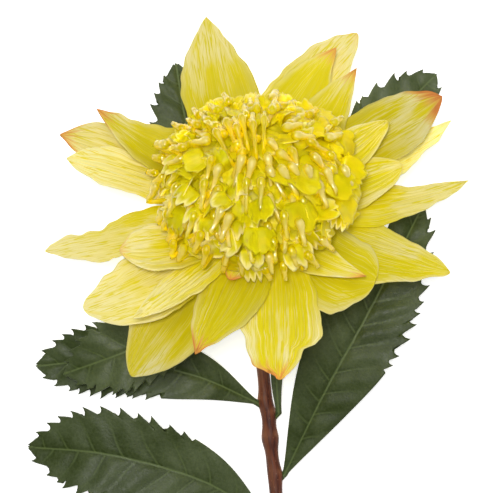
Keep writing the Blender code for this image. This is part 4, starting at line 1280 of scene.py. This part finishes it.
def add_segment(sheets, place, way, length, width, pale, chance, tilt=SEGMENT_TILT):
    """A split perianth segment: it rises from the core at a place on the dome, given by polar angle, turn and
    share of the way out, leans over that way, in degrees from u towards v, and ends in teeth."""
    angle, turn, out = place
    here = dome_point(angle, turn, out)
    normal = dome_normal(angle, turn)
    ahead = HEAD_RIGHT * cosine(way) + HEAD_TOP * sine(way)
    ahead = (ahead - normal * ahead.dot(normal)).normalized()
    side = normal.cross(ahead)
    side, normal = turned(side, normal, chance.gauss(0.0, SEGMENT_ROLL))
    ahead, normal = turned(ahead, normal, chance.uniform(*tilt))
    droop = chance.uniform(*SEGMENT_DROOP)
    points = [here - ahead * SEGMENT_BACK - normal * SEGMENT_DEPTH,
              here - ahead * (SEGMENT_BACK / 2) - normal * (SEGMENT_DEPTH / 2.5), here,
              here + ahead * (length / 2), here + ahead * length - normal * droop]
    own = chance.random() * SEGMENT_OWN
    golden = GOLD_SHARE + GOLD_RIGHT * cosine(turn) * sine(angle) + GOLD_TOP * sine(turn) * sine(angle)
    teeth = chance.choice(SEGMENT_TEETH)
    tooth = chance.uniform(*SEGMENT_TOOTH) + TOOTH_PALE * pale
    cup = chance.uniform(*SEGMENT_CUP)
    skew = chance.uniform(-SEGMENT_SKEW, SEGMENT_SKEW)
    along_buckle, across_buckle = BUCKLE_PACE
    rows = []
    for row_share in shares(SEGMENT_ROWS):
        row = []
        for a in spread(SEGMENT_COLUMNS):
            notch = 1.0 - abs(sin(pi * teeth * (a + 1.0) / 2.0))
            ragged = END_RAG * noise.noise(Vector((a * END_RAG_PACE, own, 0.0)))
            end = 1.0 - tooth * notch - END_ROUNDNESS * a * a + ragged
            s = row_share ** SEGMENT_CROWDING * end
            half = width * (SEGMENT_NARROW + (1.0 - SEGMENT_NARROW) * smooth_step(s / SEGMENT_WIDE_FROM))
            lift = cup * half * a * a * smooth_step(2.0 * s)
            lift += SEGMENT_BUCKLE * noise.noise(Vector((s * along_buckle, a * across_buckle, own)))
            point, _ = route(points, s)
            point = point + side * (a * half + skew * length * max(s - 0.5, 0.0)) + normal * lift
            to_end = (end - s) * length * SEGMENT_WHOLE
            row.append((point, (s, a, own), tuple(point), (to_end, pale, golden)))
        rows.append(row)
    sheets.add(rows)


def make_segments(chance, material):
    """The side of the dome that points down the stalk has wide segments, the one on the table narrow ones."""
    sheets = Sheets("style", "place", "look")
    taken = []
    for angle, turn, way, length, width, pale in SHOWN_SEGMENTS:
        taken.append(dome_point(angle, turn, 1.0))
        add_segment(sheets, (angle, turn, SHOWN_OUT), way, length, width, pale, chance)
    first, last = LOBE_TURNS
    for index in range(LOBES):
        turn = first + (last - first) * (index + chance.random()) / LOBES
        angle = chance.uniform(*LOBE_ANGLES)
        taken.append(dome_point(angle, turn, 1.0))
        way = turn + chance.gauss(0.0, SEGMENT_WAY_STRAY)
        width = chance.uniform(*LOBE_WIDTHS)
        pale = chance.uniform(*LOBE_PALE)
        add_segment(sheets, (angle, turn, LOBE_OUT), way, LOBE_LENGTH * width, width, pale, chance, LOBE_TILT)
    for angle, turn in spiral(FILL_SEGMENTS, *FILL_COSINES):
        turn += SEGMENT_TURN
        turn += chance.uniform(-SEGMENT_TURN_STRAY, SEGMENT_TURN_STRAY)
        here = dome_point(angle, turn, 1.0)
        high = smooth_step(HEAD_TOP.dot(here - HEAD_CENTRE) / DOME_RADIUS * TOP_PACE)
        if stands_clear(here, taken, SEGMENT_APART + (TOP_APART - SEGMENT_APART) * high):
            taken.append(here)
            aim = polar(sine(angle) + LEAN_OUT, turn) + LEAN_DOWN
            way = degrees(atan2(aim.y, aim.x)) + chance.gauss(0.0, SEGMENT_WAY_STRAY)
            length = chance.uniform(*SEGMENT_LENGTHS) * (1.0 - TOP_SHORTER * high)
            width = chance.uniform(*SEGMENT_WIDTHS) * (1.0 - TOP_NARROWER * high)
            facing = max(cosine(turn - PALE_TURN), 0.0) * sine(angle)
            pale = chance.random() ** PALE_RARITY * SEGMENT_PALE + TOP_PALER * high + PALE_FACING * facing
            out = chance.uniform(*SEGMENT_OUT) + TOP_OUT * high
            add_segment(sheets, (angle, turn, out), way, length, width, pale, chance)
    piece = sheets.build("perianth_segments", material, SEGMENT_THICKNESS)
    dress(piece, "floret_head")


def make_core(material):
    first, last = CORE_ANGLES
    rows = []
    for i in range(CORE_RINGS):
        angle = first + (last - first) * i / (CORE_RINGS - 1)
        row = []
        for j in range(CORE_SIDES):
            turn = 360.0 * j / CORE_SIDES
            lump = 1.0 + CORE_LUMP * noise.noise(dome_point(angle, turn, 1.0) / CORE_LUMP_LENGTH)
            point = dome_point(angle, turn, CORE_SHARE * lump)
            row.append((point, tuple(point)))
        rows.append(row)
    sheets = Sheets("place")
    sheets.add(rows, tube=True)
    piece = sheets.build("dome_core", material)
    dress(piece, "floret_head")


# The table, the lights and the camera


def floor_material():
    material = bpy.data.materials.new("pale_table")
    material.use_nodes = True
    shader = material.node_tree.nodes["Principled BSDF"]
    shader.inputs["Base Color"].default_value = (*FLOOR_COLOUR, 1.0)
    shader.inputs["Emission Color"].default_value = WHITE
    shader.inputs["Emission Strength"].default_value = FLOOR_GLOW
    shader.inputs["Roughness"].default_value = 0.9
    shader.inputs["Specular IOR Level"].default_value = 0.1
    return material


def make_stage():
    bpy.ops.mesh.primitive_plane_add(size=FLOOR_SIZE, location=(0.0, 0.0, -FLOOR_DROP))
    floor = bpy.context.object
    floor.name = "table"
    floor.data.materials.append(floor_material())


def area_light(name, place, aim, size, power):
    light = bpy.data.lights.new(name, "AREA")
    light.shape = "DISK"
    light.size = size
    light.energy = power
    made = bpy.data.objects.new(name, light)
    made.location = place
    made.rotation_euler = (Vector(aim) - Vector(place)).to_track_quat("-Z", "Y").to_euler()
    bpy.context.scene.collection.objects.link(made)


def make_lights():
    head = on_table(HEAD_CENTRE)
    for name, (across, away, height), size, power in LAMPS:
        area_light(name, (head.x + across, head.y + away, height), head, size, power)
    world = bpy.data.worlds.new("studio")
    world.use_nodes = True
    sky = world.node_tree.nodes["Background"]
    sky.inputs["Color"].default_value = WHITE
    sky.inputs["Strength"].default_value = SKY_STRENGTH
    bpy.context.scene.world = world
    world.cycles_visibility.glossy = False


def make_camera():
    data = bpy.data.cameras.new("camera")
    data.sensor_width = SENSOR_WIDTH
    data.lens = FOCAL_PIXELS / IMAGE_SIZE * SENSOR_WIDTH
    made = bpy.data.objects.new("camera", data)
    made.location = on_table(CAMERA_OFFSET)
    made.rotation_euler = (0.0, 0.0, CAMERA_TURN)
    bpy.context.scene.collection.objects.link(made)
    bpy.context.scene.camera = made


def main():
    make_camera()
    make_stage()
    make_lights()
    bpy.context.scene.view_settings.view_transform = "Standard"
    chance = random.Random(SEED)
    phases = random.Random(SEED)
    petal = petal_material()
    blade = leaf_material()
    for number, bract in enumerate(BRACTS, 1):
        make_bract(number, bract, phases.uniform(0.0, 2 * pi), petal)
    for number, leaf in enumerate(LEAVES, 1):
        make_leaf(number, leaf, phases.uniform(0.0, 2 * pi), blade)
    make_stem(bark_material())
    make_core(core_material())
    make_segments(chance, segment_material())
    make_styles(chance, style_material())


main()
